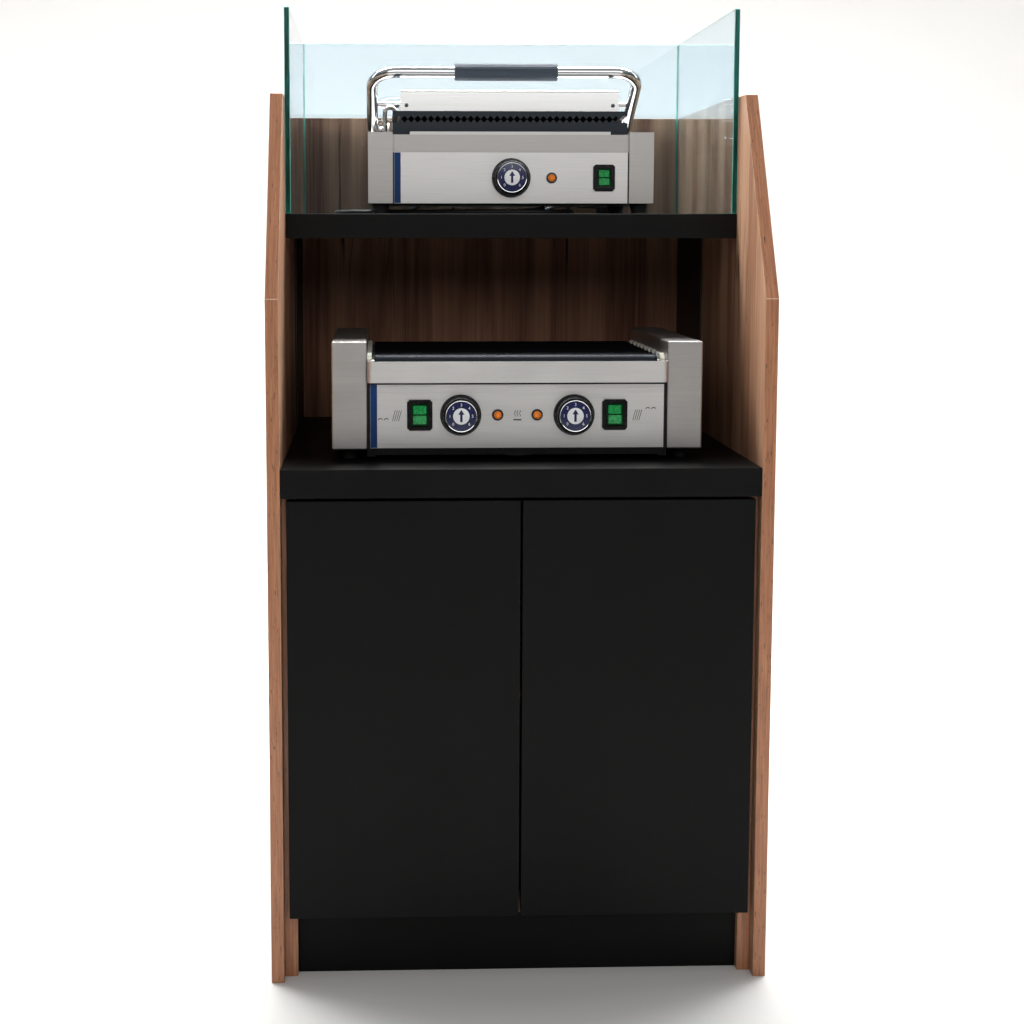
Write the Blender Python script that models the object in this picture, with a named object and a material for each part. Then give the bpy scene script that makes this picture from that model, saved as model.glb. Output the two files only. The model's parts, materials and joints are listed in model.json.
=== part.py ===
"""Hot dog counter: a board cabinet with a glass guard, a roller grill and a contact grill.

Metres, +Z up, +X to the right as the server sees it, and the front faces -Y.
The origin is on the floor under the middle of the cabinet.
"""

import math

import bmesh
import bpy
from mathutils import Matrix, Vector

# Fits and edges
FIT = 0.0003             # gap between pieces that touch
RUNNING = 0.0003         # gap round a piece that turns or slides
BOARD_EDGE = 0.0006      # broken edge of the boards and panes
STEEL_EDGE = 0.0020      # bend radius of the steel housings
SHEET = 0.0015           # wall of the hollow steel housings
VENT_COUNT = 4           # slots in the floor of each housing
VENT_LENGTH = 0.036
VENT_WIDTH = 0.004
VENT_PITCH = 0.012
SMOOTH_ANGLE = math.radians(35)
PIN_SIDES = 8            # facets of thin pins
SMALL_SIDES = 12         # facets of rods, feet, lamps and glands
ROUND_SIDES = 16         # facets of larger round pieces
BEND_STEPS = 7           # facets along a bent tube's corner
FOOT_TAPER = 0.82        # rubber foot: radius at the floor over radius at the housing

# Cabinet
WIDTH = 0.700
DEPTH = 0.690
BOARD = 0.018
SIDE_HEIGHT = 1.250
LEAN_START = 0.962       # height where the front edge of an outer side starts to lean back
LEAN_SETBACK = 0.156     # how far back that edge is at its top
WORKTOP_TOP = 0.730
WORKTOP_THICK = 0.040
SHELF_TOP = 1.080
SHELF_THICK = 0.036
SHELF_SETBACK = 0.198
SUPPORT_THICK = 0.003
SUPPORT_DEPTH = 0.212
GLASS_THICK = 0.008
GLASS_HEIGHT = 0.296
PLINTH_HEIGHT = 0.090
PLINTH_SETBACK = 0.036
INNER_SHELF_TOP = 0.400
INNER_SHELF_SETBACK = 0.040
PIN_RADIUS = 0.0025
PIN_LENGTH = 0.008
PIN_INSET = 0.060        # shelf pins from the ends of the inner shelf

# Doors and their concealed hinges
DOOR_THICK = 0.018
DOOR_SETBACK = 0.002
DOOR_BOTTOM = 0.093
DOOR_TOP_GAP = 0.004
DOOR_SIDE_GAP = 0.008
DOOR_MIDDLE_GAP = 0.003
DOOR_BACK_GAP = 0.0015   # between a closed door and the carcass
HINGE_INSET = 0.100      # hinge centre from the door's top or bottom edge
CUP_RADIUS = 0.0175
CUP_EDGE = 0.0280        # cup centre from the door's outer edge
CUP_FLANGE = 0.0010
ARM_LENGTH = 0.064
ARM_HEIGHT = 0.013
ARM_REACH = 0.0220       # from the carcass side to the arm's inner face
ARM_PLATE_HEIGHT = 0.048
ARM_PLATE_THICK = 0.0050
ARM_PLATE_BACK = 0.0300  # mounting plate behind the arm's tip

# Controls shared by the two grills
KNOB_RADIUS = 0.0265
KNOB_DEPTH = 0.0175
KNOB_SIDES = 24
KNOB_SKIRT = 0.0030      # straight foot of a dial
KNOB_NECK = 0.0010       # step from the foot to the grip
KNOB_NECK_INSET = 0.0008
KNOB_SHOULDER_INSET = 0.0019
KNOB_FACE_INSET = 0.0037
KNOB_DISC_INSET = 0.0053
KNOB_ROUND = 0.0012      # rounding of the grip's front edge
KNOB_SINK = 0.0008       # disc below the rim of the face
BEZEL_RADIUS = 0.0290
BEZEL_PROUD = 0.0020
LAMP_RADIUS = 0.0055
LAMP_DOME = 0.0045
LAMP_COLLAR = 0.0010
LAMP_FLAT = 10           # half angle of the flat on top of the dome, in degrees
LAMP_STEPS = 3
LAMP_BEZEL_RADIUS = 0.0078
FRAME_PROUD = 0.0030
FRAME_RIM = 0.0055       # visible width of a switch frame round its rocker
ROCKER_GAP = 0.0004      # at each end of the rocker's axis
ROCKER_SWING = 0.0010    # above and below the rocker
ROCKER_TILT = math.radians(8)
ROCKER_PROUD = 0.0008    # ends of the rocker above its frame
ROCKER_HOLLOW = 0.0016
ROCKER_END = 0.0008      # back of the rocker's ends, above the panel's face
ROCKER_HEEL = 0.0012     # back of its middle, below the panel's face
ROCKER_HEEL_HALF = 0.0040
ROCKER_EASE = 0.0002     # ends drawn in at the face, and twice that at the back

# Roller grill, from its own front face, centre line and standing surface
ROLLER_SETBACK = 0.085   # front face behind the cabinet's front
ROLLER_WIDTH = 0.526
ROLLER_DEPTH = 0.360
ROLLER_FOOT = 0.016
ROLLER_FOOT_RADIUS = 0.012
ROLLER_FOOT_INSET = 0.040
HOUSING_WIDTH = 0.050
HOUSING_HEIGHT = 0.153
CHASSIS_WALL = 0.0015
CHASSIS_TOP = 0.1117
REAR_WALL_TOP = 0.142
RAIL_BOTTOM = 0.0060
RAIL_WIDTH = 0.010
TRAY_HEIGHT = 0.0085
TRAY_WALL = 0.0012
TAB_WIDTH = 0.044
TAB_REACH = 0.012
ROLLER_PANEL_BOTTOM = 0.018
ROLLER_PANEL_SETBACK = 0.002
ROLLER_PANEL_THICK = 0.002
ROLLER_PANEL_GAP = 0.0042  # open seam between a panel end and its housing
GUARD_HEIGHT = 0.030
GUARD_PROUD = 0.014
GUARD_BACK = 0.012
GUARD_CORNER = 0.007
GUARD_SHEET = 0.0015
ROLLER_COUNT = 9
ROLLER_PITCH = 0.036
ROLLER_RADIUS = 0.0125
ROLLER_SIDES = 16
ROLLER_AXIS_HEIGHT = 0.1365
STUB_RADIUS = 0.005
BEARING_THICK = 0.0062
BEARING_LOBE = 0.0140
BEARING_END = 0.020      # strip beyond the first and last roller axis
ROLLER_END_GAP = 0.004   # roller end to bearing strip
ROLLER_CONTROL_HEIGHT = 0.065
ROLLER_SWITCH_X = 0.1385
ROLLER_KNOB_X = 0.0805
ROLLER_LAMP_X = 0.0280
ROLLER_SWITCH_WIDTH = 0.034
ROLLER_SWITCH_HEIGHT = 0.042
ROLLER_GLAND_X = 0.150
ROLLER_GLAND_HEIGHT = 0.050
ROLLER_GLAND_NUT = 0.006
ROLLER_GLAND_LENGTH = 0.012
ROLLER_GLAND_MOUTH = 0.0077

# Contact grill, from its own front face, centre line and standing surface
CONTACT_SHIFT = 0.0036   # its centre line beside the cabinet's
CONTACT_SETBACK = 0.265
CONTACT_WIDTH = 0.430
CONTACT_DEPTH = 0.305
CONTACT_FOOT = 0.016
CONTACT_FOOT_RADIUS = 0.013
CONTACT_FOOT_INSET = 0.025
CONTACT_HOUSING_WIDTH = 0.037
CONTACT_HOUSING_HEIGHT = 0.106
CONTACT_PANEL_HEIGHT = 0.076
CONTACT_PANEL_SETBACK = 0.001
CONTACT_PANEL_THICK = 0.004
CONTACT_PANEL_GAP = 0.0022
CONTACT_CONTROL_HEIGHT = 0.054
CONTACT_LAMP_X = 0.061
CONTACT_SWITCH_X = 0.140
CONTACT_SWITCH_WIDTH = 0.031
CONTACT_SWITCH_HEIGHT = 0.038
GREASE_FRONT_HEIGHT = 0.026
GREASE_FRONT_THICK = 0.002
GREASE_DEPTH = 0.120
GREASE_HEIGHT = 0.012
GREASE_WALL = 0.0012
GREASE_SIDE = 0.007      # ledge beside the tray, which carries the lower plate
PLATE_FRONT = 0.020
PLATE_DEPTH = 0.225
LOWER_PLATE_THICK = 0.0182
UPPER_PLATE_THICK = 0.0067
RIB_HEIGHT = 0.0050
RIB_PITCH = 0.010
PLATE_GAP = 0.0006       # rib tip to rib tip with the lid down
COVER_INSET_SIDE = 0.012
COVER_INSET_FRONT = 0.012
COVER_HEIGHT = 0.0325
COVER_SHEET = 0.0015
COVER_EDGE = 0.0040
HANDLE_RADIUS = 0.009
HANDLE_INSET = 0.006     # arm axis inside the grill's outer faces
HANDLE_BEND = 0.038
HANDLE_FOOT_BEND = 0.018
BAR_BACK = 0.115         # handle bar behind the front face
BAR_RISE = 0.083         # handle bar above the lid's pivot
PIVOT_BACK = 0.265
PIVOT_RISE = 0.016       # lid pivot above the housings
LUG_THICK = 0.009
LUG_INSET = 0.0035
LUG_RADIUS = 0.0145
GRIP_RADIUS = 0.0135
GRIP_LENGTH = 0.161
ROD_RADIUS = 0.005
ROD_DROP = 0.004         # rod below the underside of the cover's top
LEAD_RADIUS = 0.004
LEAD_RIB_PITCH = 0.003   # turns of the wound conduit
LEAD_RIB_DEPTH = 0.0006
LEAD_AHEAD = 0.016       # flexible lead in front of the rod
GLAND_X = -0.104
GLAND_HEIGHT = 0.038
GLAND_LENGTH = 0.030
GLAND_RADIUS = 0.011
GLAND_NUT = 0.005
GLAND_NECK_RADIUS = 0.0085
SLEEVE_WALL = 0.0015     # rubber round the cord where it leaves a gland or plug

# Mains cord of the contact grill, from that grill's front face, centre line and surface
CORD_RADIUS = 0.0035
CORD_STEP = 0.0205
PLUG_AT = (0.142, 0.342, 0.0193)
PLUG_RADIUS = 0.019
PLUG_RELIEF = 0.030
PLUG_RELIEF_WALL = 0.0035
PLUG_NECK_RADIUS = 0.0133
PLUG_SHOULDER = 0.0113
PLUG_BODY = 0.034
PLUG_PIN_RADIUS = 0.0024
PLUG_PIN_LENGTH = 0.019
PLUG_PIN_SPACING = 0.019
CORD_ROUTE = [
    (-0.104, 0.3359, 0.0380),
    (-0.104, 0.347, 0.0380),
    (-0.104, 0.358, 0.0377),
    (-0.110, 0.372, 0.0325),
    (-0.126, 0.383, 0.0210),
    (-0.150, 0.387, 0.0095),
    (-0.180, 0.384, 0.0038),
    (-0.218, 0.372, 0.0038),
    (-0.247, 0.347, 0.0038),
    (-0.263, 0.311, 0.0038),
    (-0.267, 0.265, 0.0038),
    (-0.267, 0.205, 0.0038),
    (-0.266, 0.150, 0.0038),
    (-0.260, 0.108, 0.0038),
    (-0.240, 0.076, 0.0038),
    (-0.208, 0.061, 0.0038),
    (-0.170, 0.055, 0.0038),
    (-0.125, 0.045, 0.0038),
    (-0.080, 0.032, 0.0038),
    (-0.030, 0.024, 0.0038),
    (0.020, 0.022, 0.0038),
    (0.060, 0.028, 0.0038),
    (0.089, 0.046, 0.0038),
    (0.100, 0.073, 0.0038),
    (0.088, 0.099, 0.0038),
    (0.060, 0.113, 0.0038),
    (0.020, 0.115, 0.0038),
    (-0.030, 0.115, 0.0038),
    (-0.072, 0.113, 0.0038),
    (-0.095, 0.103, 0.0038),
    (-0.104, 0.083, 0.0038),
    (-0.095, 0.063, 0.0038),
    (-0.072, 0.053, 0.0038),
    (-0.030, 0.052, 0.0038),
    (0.008, 0.056, 0.0040),
    (0.037, 0.069, 0.0062),
    (0.053, 0.091, 0.0096),
    (0.059, 0.115, 0.0114),
    (0.0595, 0.138, 0.0096),
    (0.058, 0.162, 0.0062),
    (0.056, 0.190, 0.0038),
    (0.056, 0.225, 0.0038),
    (0.059, 0.262, 0.0038),
    (0.066, 0.297, 0.0042),
    (0.078, 0.325, 0.0085),
    (0.096, 0.339, 0.0150),
    (0.115, 0.342, 0.0190),
    (0.128, 0.342, 0.0193),
    (0.1417, 0.342, 0.0193),
]

# Places worked out from the sizes above
FRONT = -DEPTH / 2
REAR = DEPTH / 2
INNER = WIDTH / 2 - BOARD                      # inner face of an outer side
LINED = INNER - FIT - BOARD                    # inner face of a carcass side
BACK_FACE = REAR - BOARD - FIT                 # where pieces stop at the back panel
WORKTOP_BASE = WORKTOP_TOP - WORKTOP_THICK
CARCASS_FRONT = FRONT + DOOR_SETBACK + DOOR_THICK + DOOR_BACK_GAP
DOOR_WIDTH = INNER - DOOR_SIDE_GAP - DOOR_MIDDLE_GAP / 2
DOOR_HEIGHT = WORKTOP_BASE - DOOR_TOP_GAP - DOOR_BOTTOM
SIDES = {"left": -1, "right": 1}

ROLLER_INNER = ROLLER_WIDTH / 2 - HOUSING_WIDTH
CHASSIS_HALF = ROLLER_INNER - FIT
CHASSIS_FRONT = ROLLER_PANEL_SETBACK + ROLLER_PANEL_THICK + FIT
TRAY_FLOOR = RAIL_BOTTOM + CHASSIS_WALL + FIT
TRAY_HALF = CHASSIS_HALF - CHASSIS_WALL - RUNNING
FIRST_ROLLER = (ROLLER_DEPTH - (ROLLER_COUNT - 1) * ROLLER_PITCH) / 2
BEARING_FACE = CHASSIS_HALF - BEARING_THICK

CONTACT_INNER = CONTACT_WIDTH / 2 - CONTACT_HOUSING_WIDTH
CONTACT_TOP = CONTACT_FOOT + CONTACT_HOUSING_HEIGHT
CONTACT_BODY_FRONT = CONTACT_PANEL_SETBACK + CONTACT_PANEL_THICK + FIT
GREASE_BASE = CONTACT_FOOT + CONTACT_PANEL_HEIGHT + FIT
LOWER_PLATE_BASE = GREASE_BASE + GREASE_FRONT_HEIGHT + 2 * FIT
PLATE_HALF = CONTACT_INNER - FIT
RIB_MEETING = LOWER_PLATE_BASE + LOWER_PLATE_THICK + RIB_HEIGHT + PLATE_GAP / 2
UPPER_PLATE_TOP = RIB_MEETING + PLATE_GAP / 2 + RIB_HEIGHT + UPPER_PLATE_THICK
COVER_HALF = PLATE_HALF - COVER_INSET_SIDE
COVER_BASE = UPPER_PLATE_TOP + FIT
COVER_TOP = COVER_BASE + COVER_HEIGHT
ARM_X = CONTACT_WIDTH / 2 - HANDLE_INSET
PIVOT_HEIGHT = CONTACT_TOP + PIVOT_RISE
BAR_HEIGHT = PIVOT_HEIGHT + BAR_RISE
ROD_HEIGHT = COVER_TOP - COVER_SHEET - ROD_DROP - ROD_RADIUS
ROD_BACK = BAR_BACK + (PIVOT_BACK - BAR_BACK) * (BAR_HEIGHT - ROD_HEIGHT) / BAR_RISE


# Helpers

def clear_scene():
    """Remove whatever the file already holds."""
    for item in list(bpy.data.objects):
        bpy.data.objects.remove(item)


def look(name, colour, roughness, metallic=0.0, transmission=0.0):
    """A Principled material in linear colour."""
    material = bpy.data.materials.new(name)
    material.use_nodes = True
    shader = material.node_tree.nodes["Principled BSDF"]
    shader.inputs["Base Color"].default_value = (*colour, 1.0)
    shader.inputs["Roughness"].default_value = roughness
    shader.inputs["Metallic"].default_value = metallic
    shader.inputs["Transmission Weight"].default_value = transmission
    return material


def anchor(name, location, frame=None):
    """An empty that carries a group of pieces."""
    empty = bpy.data.objects.new(name, None)
    empty.location = location
    empty.parent = frame
    bpy.context.scene.collection.objects.link(empty)
    return empty


def solid(name, mesh, finish, location=(0.0, 0.0, 0.0), frame=None):
    """One named piece, its mesh drawn round its own origin and placed in its frame."""
    bmesh.ops.recalc_face_normals(mesh, faces=mesh.faces[:])
    data = bpy.data.meshes.new(name)
    mesh.to_mesh(data)
    mesh.free()
    data.shade_smooth()
    data.set_sharp_from_angle(angle=SMOOTH_ANGLE)
    data.materials.append(finish)
    item = bpy.data.objects.new(name, data)
    item.location = location
    item.parent = frame
    bpy.context.scene.collection.objects.link(item)
    return item


def combine(target, mesh, operation):
    """Join a mesh to a piece, or cut it out, with a hidden tool in the piece's own place."""
    count = len(target.modifiers)
    tool = solid(f"{target.name}_tool_{count}", mesh, target.data.materials[0])
    tool.location = target.location
    tool.parent = target.parent
    tool.hide_render = True
    tool.display_type = "WIRE"
    step = target.modifiers.new(f"{operation.lower()}_{count}", "BOOLEAN")
    step.operation = operation
    step.solver = "EXACT"
    step.object = tool


def add_box(mesh, low, high):
    """A box between two corners."""
    middle = [(a + b) / 2 for a, b in zip(low, high)]
    size = [b - a for a, b in zip(low, high)]
    bmesh.ops.create_cube(mesh, size=1.0, matrix=Matrix.LocRotScale(Vector(middle), None, Vector(size)))


def box(low, high):
    mesh = bmesh.new()
    add_box(mesh, low, high)
    return mesh


def break_edges(mesh, width, segments=1):
    bmesh.ops.bevel(mesh, geom=mesh.edges[:], offset=width, segments=segments, affect="EDGES", profile=0.5)


def on_axis(axis, along, u, v):
    """The point at a distance along an axis, with u and v across it."""
    if axis == "X":
        return (along, u, v)
    if axis == "Y":
        return (u, along, v)
    return (u, v, along)


def add_loft(mesh, loops):
    """Skin a row of loops that have the same number of points, and close both ends."""
    rows = [[mesh.verts.new(point) for point in loop] for loop in loops]
    mesh.faces.new(rows[0])
    mesh.faces.new(rows[-1])
    for lower, upper in zip(rows, rows[1:]):
        for k in range(len(lower)):
            after = (k + 1) % len(lower)
            mesh.faces.new((lower[k], lower[after], upper[after], upper[k]))


def add_prism(mesh, outline, axis, start, end):
    """A closed outline pushed along an axis."""
    add_loft(mesh, [[on_axis(axis, along, u, v) for u, v in outline] for along in (start, end)])


def prism(outline, axis, start, end):
    mesh = bmesh.new()
    add_prism(mesh, outline, axis, start, end)
    return mesh


def add_turned(mesh, profile, sides, axis, centre=(0.0, 0.0, 0.0)):
    """A turned solid from (along, radius) pairs, closed by a flat disc at each end."""
    loops = []
    for along, radius in profile:
        circle = arc((0.0, 0.0), radius, 0, 360, sides)[:-1]
        loops.append([Vector(centre) + Vector(on_axis(axis, along, u, v)) for u, v in circle])
    add_loft(mesh, loops)


def turned(profile, sides, axis, centre=(0.0, 0.0, 0.0)):
    mesh = bmesh.new()
    add_turned(mesh, profile, sides, axis, centre)
    return mesh


def bore_radius(radius, sides):
    """A faceted bore that leaves the running gap round a pin."""
    return (radius + RUNNING) / math.cos(math.pi / sides)


def arc(centre, radius, start, end, steps):
    """Points on an arc, its ends included, with angles in degrees."""
    points = []
    for k in range(steps + 1):
        angle = math.radians(start + (end - start) * k / steps)
        points.append((centre[0] + radius * math.cos(angle), centre[1] + radius * math.sin(angle)))
    return points


def board(name, low, high, finish, frame=None, edge=BOARD_EDGE, segments=1):
    """A rectangular panel between two corners, with its edges broken."""
    middle = Vector(low).lerp(Vector(high), 0.5)
    mesh = box(Vector(low) - middle, Vector(high) - middle)
    break_edges(mesh, edge, segments)
    return solid(name, mesh, finish, middle, frame)


def open_tray(low, high, wall):
    """A box with an open top and walls and floor of one thickness."""
    def corners(inset, z):
        near = (low[0] + inset, low[1] + inset)
        far = (high[0] - inset, high[1] - inset)
        return [(near[0], near[1], z), (far[0], near[1], z), (far[0], far[1], z), (near[0], far[1], z)]

    mesh = bmesh.new()
    outside = [corners(0.0, low[2]), corners(0.0, high[2])]
    inside = [corners(wall, high[2]), corners(wall, low[2] + wall)]
    add_loft(mesh, outside + inside)
    return mesh


def hollow_out(item, rooms, floor, vent_centre):
    """Cut rooms out of a housing, and open them to the air by slots in its floor."""
    for low, high in rooms:
        combine(item, box(low, high), "DIFFERENCE")
    vents = bmesh.new()
    x, y = vent_centre
    for k in range(VENT_COUNT):
        along = y + (k - (VENT_COUNT - 1) / 2) * VENT_PITCH
        low = (x - VENT_LENGTH / 2, along - VENT_WIDTH / 2, floor - SHEET)
        add_box(vents, low, (x + VENT_LENGTH / 2, along + VENT_WIDTH / 2, floor + 2 * SHEET))
    combine(item, vents, "DIFFERENCE")


def rounded_path(corners, bends, steps):
    """A path through corners, each inner corner rounded to its own bend radius."""
    path = [Vector(corners[0])]
    for k in range(1, len(corners) - 1):
        corner = Vector(corners[k])
        back = (Vector(corners[k - 1]) - corner).normalized()
        ahead = (Vector(corners[k + 1]) - corner).normalized()
        half = back.angle(ahead) / 2
        reach = bends[k - 1] / math.tan(half)
        centre = corner + (back + ahead).normalized() * (bends[k - 1] / math.sin(half))
        first = corner + back * reach - centre
        last = corner + ahead * reach - centre
        turn = first.angle(last)
        for j in range(steps + 1):
            share = j / steps
            bent = first * math.sin((1 - share) * turn) + last * math.sin(share * turn)
            path.append(centre + bent / math.sin(turn))
    path.append(Vector(corners[-1]))
    return path


def even_points(path, step):
    """Evenly spaced points along a path, its ends included."""
    length = sum((q - p).length for p, q in zip(path, path[1:]))
    count = max(2, round(length / step))
    spaced = [path[0]]
    travelled = 0.0
    for p, q in zip(path, path[1:]):
        stretch = (q - p).length
        while len(spaced) < count and travelled + stretch >= len(spaced) * length / count:
            spaced.append(p.lerp(q, (len(spaced) * length / count - travelled) / stretch))
        travelled += stretch
    spaced.append(path[-1])
    return spaced


def smooth_route(route, step):
    """Evenly spaced points on a smooth curve through the route's own points."""
    points = [Vector(point) for point in route]
    ends = [2 * points[0] - points[1], *points, 2 * points[-1] - points[-2]]
    fine = []
    parts = 24
    for a, b, c, d in zip(ends, ends[1:], ends[2:], ends[3:]):
        for k in range(parts):
            t = k / parts
            curve = 2 * b + (c - a) * t + (2 * a - 5 * b + 4 * c - d) * t**2 + (3 * b - a - 3 * c + d) * t**3
            fine.append(curve / 2)
    fine.append(points[-1])
    return even_points(fine, step)


def tube(name, path, radius, resolution, finish, location=(0.0, 0.0, 0.0), frame=None):
    """A round tube along a path, with closed ends."""
    curve = bpy.data.curves.new(name, "CURVE")
    curve.dimensions = "3D"
    curve.bevel_depth = radius
    curve.bevel_resolution = resolution
    curve.use_fill_caps = True
    spline = curve.splines.new("POLY")
    spline.points.add(len(path) - 1)
    for point, place in zip(spline.points, path):
        point.co = (*place, 1.0)
    spline.use_smooth = True
    curve.materials.append(finish)
    item = bpy.data.objects.new(name, curve)
    item.location = location
    item.parent = frame
    bpy.context.scene.collection.objects.link(item)
    return item


# Cabinet

def outer_sides(decor):
    """Full-height sides whose front edge leans back beside the upper shelf."""
    outline = [
        (FRONT, 0.0),
        (REAR, 0.0),
        (REAR, SIDE_HEIGHT),
        (FRONT + LEAN_SETBACK, SIDE_HEIGHT),
        (FRONT, LEAN_START),
    ]
    for name, side in SIDES.items():
        mesh = prism(outline, "X", -BOARD / 2, BOARD / 2)
        break_edges(mesh, BOARD_EDGE)
        solid(f"outer_side_{name}", mesh, decor, (side * (WIDTH - BOARD) / 2, 0.0, 0.0))


def carcass_sides(decor):
    """Inner sides that carry the worktop, with pins for the inner shelf."""
    shelf_front = CARCASS_FRONT + INNER_SHELF_SETBACK
    pin_height = INNER_SHELF_TOP - BOARD - FIT - PIN_RADIUS
    for name, side in SIDES.items():
        near, far = sorted((side * LINED, side * (INNER - FIT)))
        top = WORKTOP_BASE - FIT
        item = board(f"carcass_side_{name}", (near, CARCASS_FRONT, 0.0), (far, BACK_FACE, top), decor)
        pins = bmesh.new()
        for along in (shelf_front + PIN_INSET, BACK_FACE - PIN_INSET):
            root = side * (LINED + BOARD / 2)
            tip = side * (LINED - PIN_LENGTH)
            pin = sorted([(root, PIN_RADIUS), (tip, PIN_RADIUS)])
            add_turned(pins, pin, PIN_SIDES, "X", (0.0, along, pin_height))
        bmesh.ops.translate(pins, verts=pins.verts[:], vec=-item.location)
        combine(item, pins, "UNION")


def cabinet_panels(decor, black):
    """Back, floor, shelves, plinth and worktop."""
    across = INNER - FIT
    between = LINED - FIT
    board("back_panel", (-across, REAR - BOARD, 0.0), (across, REAR, SIDE_HEIGHT), decor)
    floor_low = PLINTH_HEIGHT + FIT
    floor_top = floor_low + BOARD
    board("carcass_floor", (-between, CARCASS_FRONT, floor_low), (between, BACK_FACE, floor_top), decor)
    shelf_front = CARCASS_FRONT + INNER_SHELF_SETBACK
    shelf_low = INNER_SHELF_TOP - BOARD
    board("inner_shelf", (-between, shelf_front, shelf_low), (between, BACK_FACE, INNER_SHELF_TOP), decor)
    plinth_front = FRONT + PLINTH_SETBACK
    board("plinth", (-between, plinth_front, 0.0), (between, plinth_front + BOARD, PLINTH_HEIGHT), black)
    board("worktop", (-across, FRONT, WORKTOP_BASE), (across, BACK_FACE, WORKTOP_TOP), black)
    shelf_edge = FRONT + SHELF_SETBACK
    shelf_base = SHELF_TOP - SHELF_THICK
    board("upper_shelf", (-across, shelf_edge, shelf_base), (across, BACK_FACE, SHELF_TOP), black)


def shelf_supports(steel):
    """Thin plates against the outer sides, between the worktop and the upper shelf."""
    for name, side in SIDES.items():
        near, far = sorted((side * (INNER - FIT), side * (INNER - FIT - SUPPORT_THICK)))
        low = (near, BACK_FACE - SUPPORT_DEPTH, WORKTOP_TOP + FIT)
        high = (far, BACK_FACE, SHELF_TOP - SHELF_THICK - FIT)
        board(f"shelf_support_{name}", low, high, steel)


def glass_guard(glass):
    """Two side panes and a rear pane that stand on the upper shelf."""
    low = SHELF_TOP + FIT
    high = SHELF_TOP + FIT + GLASS_HEIGHT
    for name, side in SIDES.items():
        near, far = sorted((side * (INNER - FIT), side * (INNER - FIT - GLASS_THICK)))
        board(f"glass_{name}", (near, FRONT + SHELF_SETBACK, low), (far, BACK_FACE, high), glass)
    across = INNER - 2 * FIT - GLASS_THICK
    board("glass_back", (-across, BACK_FACE - GLASS_THICK, low), (across, BACK_FACE, high), glass)


def hinge_heights():
    return {"lower": DOOR_BOTTOM + HINGE_INSET, "upper": DOOR_BOTTOM + DOOR_HEIGHT - HINGE_INSET}


def doors(black):
    """Overlay doors, each with its origin on its hinge axis and two hinge cups in its back."""
    for name, side in SIDES.items():
        near, far = sorted((0.0, -side * DOOR_WIDTH))
        mesh = box((near, 0.0, 0.0), (far, DOOR_THICK, DOOR_HEIGHT))
        break_edges(mesh, BOARD_EDGE)
        hinge = (side * (INNER - DOOR_SIDE_GAP), FRONT + DOOR_SETBACK, DOOR_BOTTOM)
        item = solid(f"door_{name}", mesh, black, hinge)
        cups = bmesh.new()
        for height in hinge_heights().values():
            rim = [(DOOR_THICK / 2, CUP_RADIUS), (DOOR_THICK + CUP_FLANGE, CUP_RADIUS)]
            add_turned(cups, rim, ROUND_SIDES, "Y", (-side * CUP_EDGE, 0.0, height - DOOR_BOTTOM))
        combine(item, cups, "UNION")


def hinge_arms(steel):
    """Concealed-hinge arms on the carcass sides, which end at the cups of the closed doors."""
    tip = FRONT + DOOR_SETBACK + DOOR_THICK + CUP_FLANGE + FIT
    for side_name, side in SIDES.items():
        for level, height in hinge_heights().items():
            root = side * (LINED - FIT)
            inner = side * (LINED - FIT - ARM_REACH)
            plate = side * (LINED - FIT - ARM_PLATE_THICK)
            low_x, high_x = sorted((root, inner))
            half = ARM_HEIGHT / 2
            mesh = box((low_x, tip, -half), (high_x, tip + ARM_LENGTH, half))
            break_edges(mesh, STEEL_EDGE)
            item = solid(f"hinge_arm_{side_name}_{level}", mesh, steel, (0.0, 0.0, height))
            low_x, high_x = sorted((root, plate))
            half = ARM_PLATE_HEIGHT / 2
            base = box((low_x, tip + ARM_PLATE_BACK, -half), (high_x, tip + ARM_LENGTH - STEEL_EDGE, half))
            combine(item, base, "UNION")


# Controls of the two grills

def control_panel(name, frame, finish, half, front, back, low, high, controls, size):
    """A front panel with dial and lamp bezels and switch frames standing proud of it."""
    height, switches, knobs, lamps = controls
    wide, tall = size
    mesh = box((-half, front, low), (half, back, high))
    item = solid(name, mesh, finish, frame=frame)
    root = (front + back) / 2
    raised = bmesh.new()
    openings = bmesh.new()
    for x in knobs:
        rim = [(front - BEZEL_PROUD, BEZEL_RADIUS), (root, BEZEL_RADIUS)]
        add_turned(raised, rim, KNOB_SIDES, "Y", (x, 0.0, height))
    for x in lamps:
        rim = [(front - BEZEL_PROUD, LAMP_BEZEL_RADIUS), (root, LAMP_BEZEL_RADIUS)]
        add_turned(raised, rim, ROUND_SIDES, "Y", (x, 0.0, height))
    for x in switches:
        low_corner = (x - wide / 2, front - FRAME_PROUD, height - tall / 2)
        add_box(raised, low_corner, (x + wide / 2, root, height + tall / 2))
        gap_x = wide / 2 - FRAME_RIM + ROCKER_GAP
        gap_z = tall / 2 - FRAME_RIM + ROCKER_SWING
        low_corner = (x - gap_x, front - 2 * FRAME_PROUD, height - gap_z)
        add_box(openings, low_corner, (x + gap_x, back + FRAME_PROUD, height + gap_z))
    combine(item, raised, "UNION")
    combine(item, openings, "DIFFERENCE")
    return item


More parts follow.
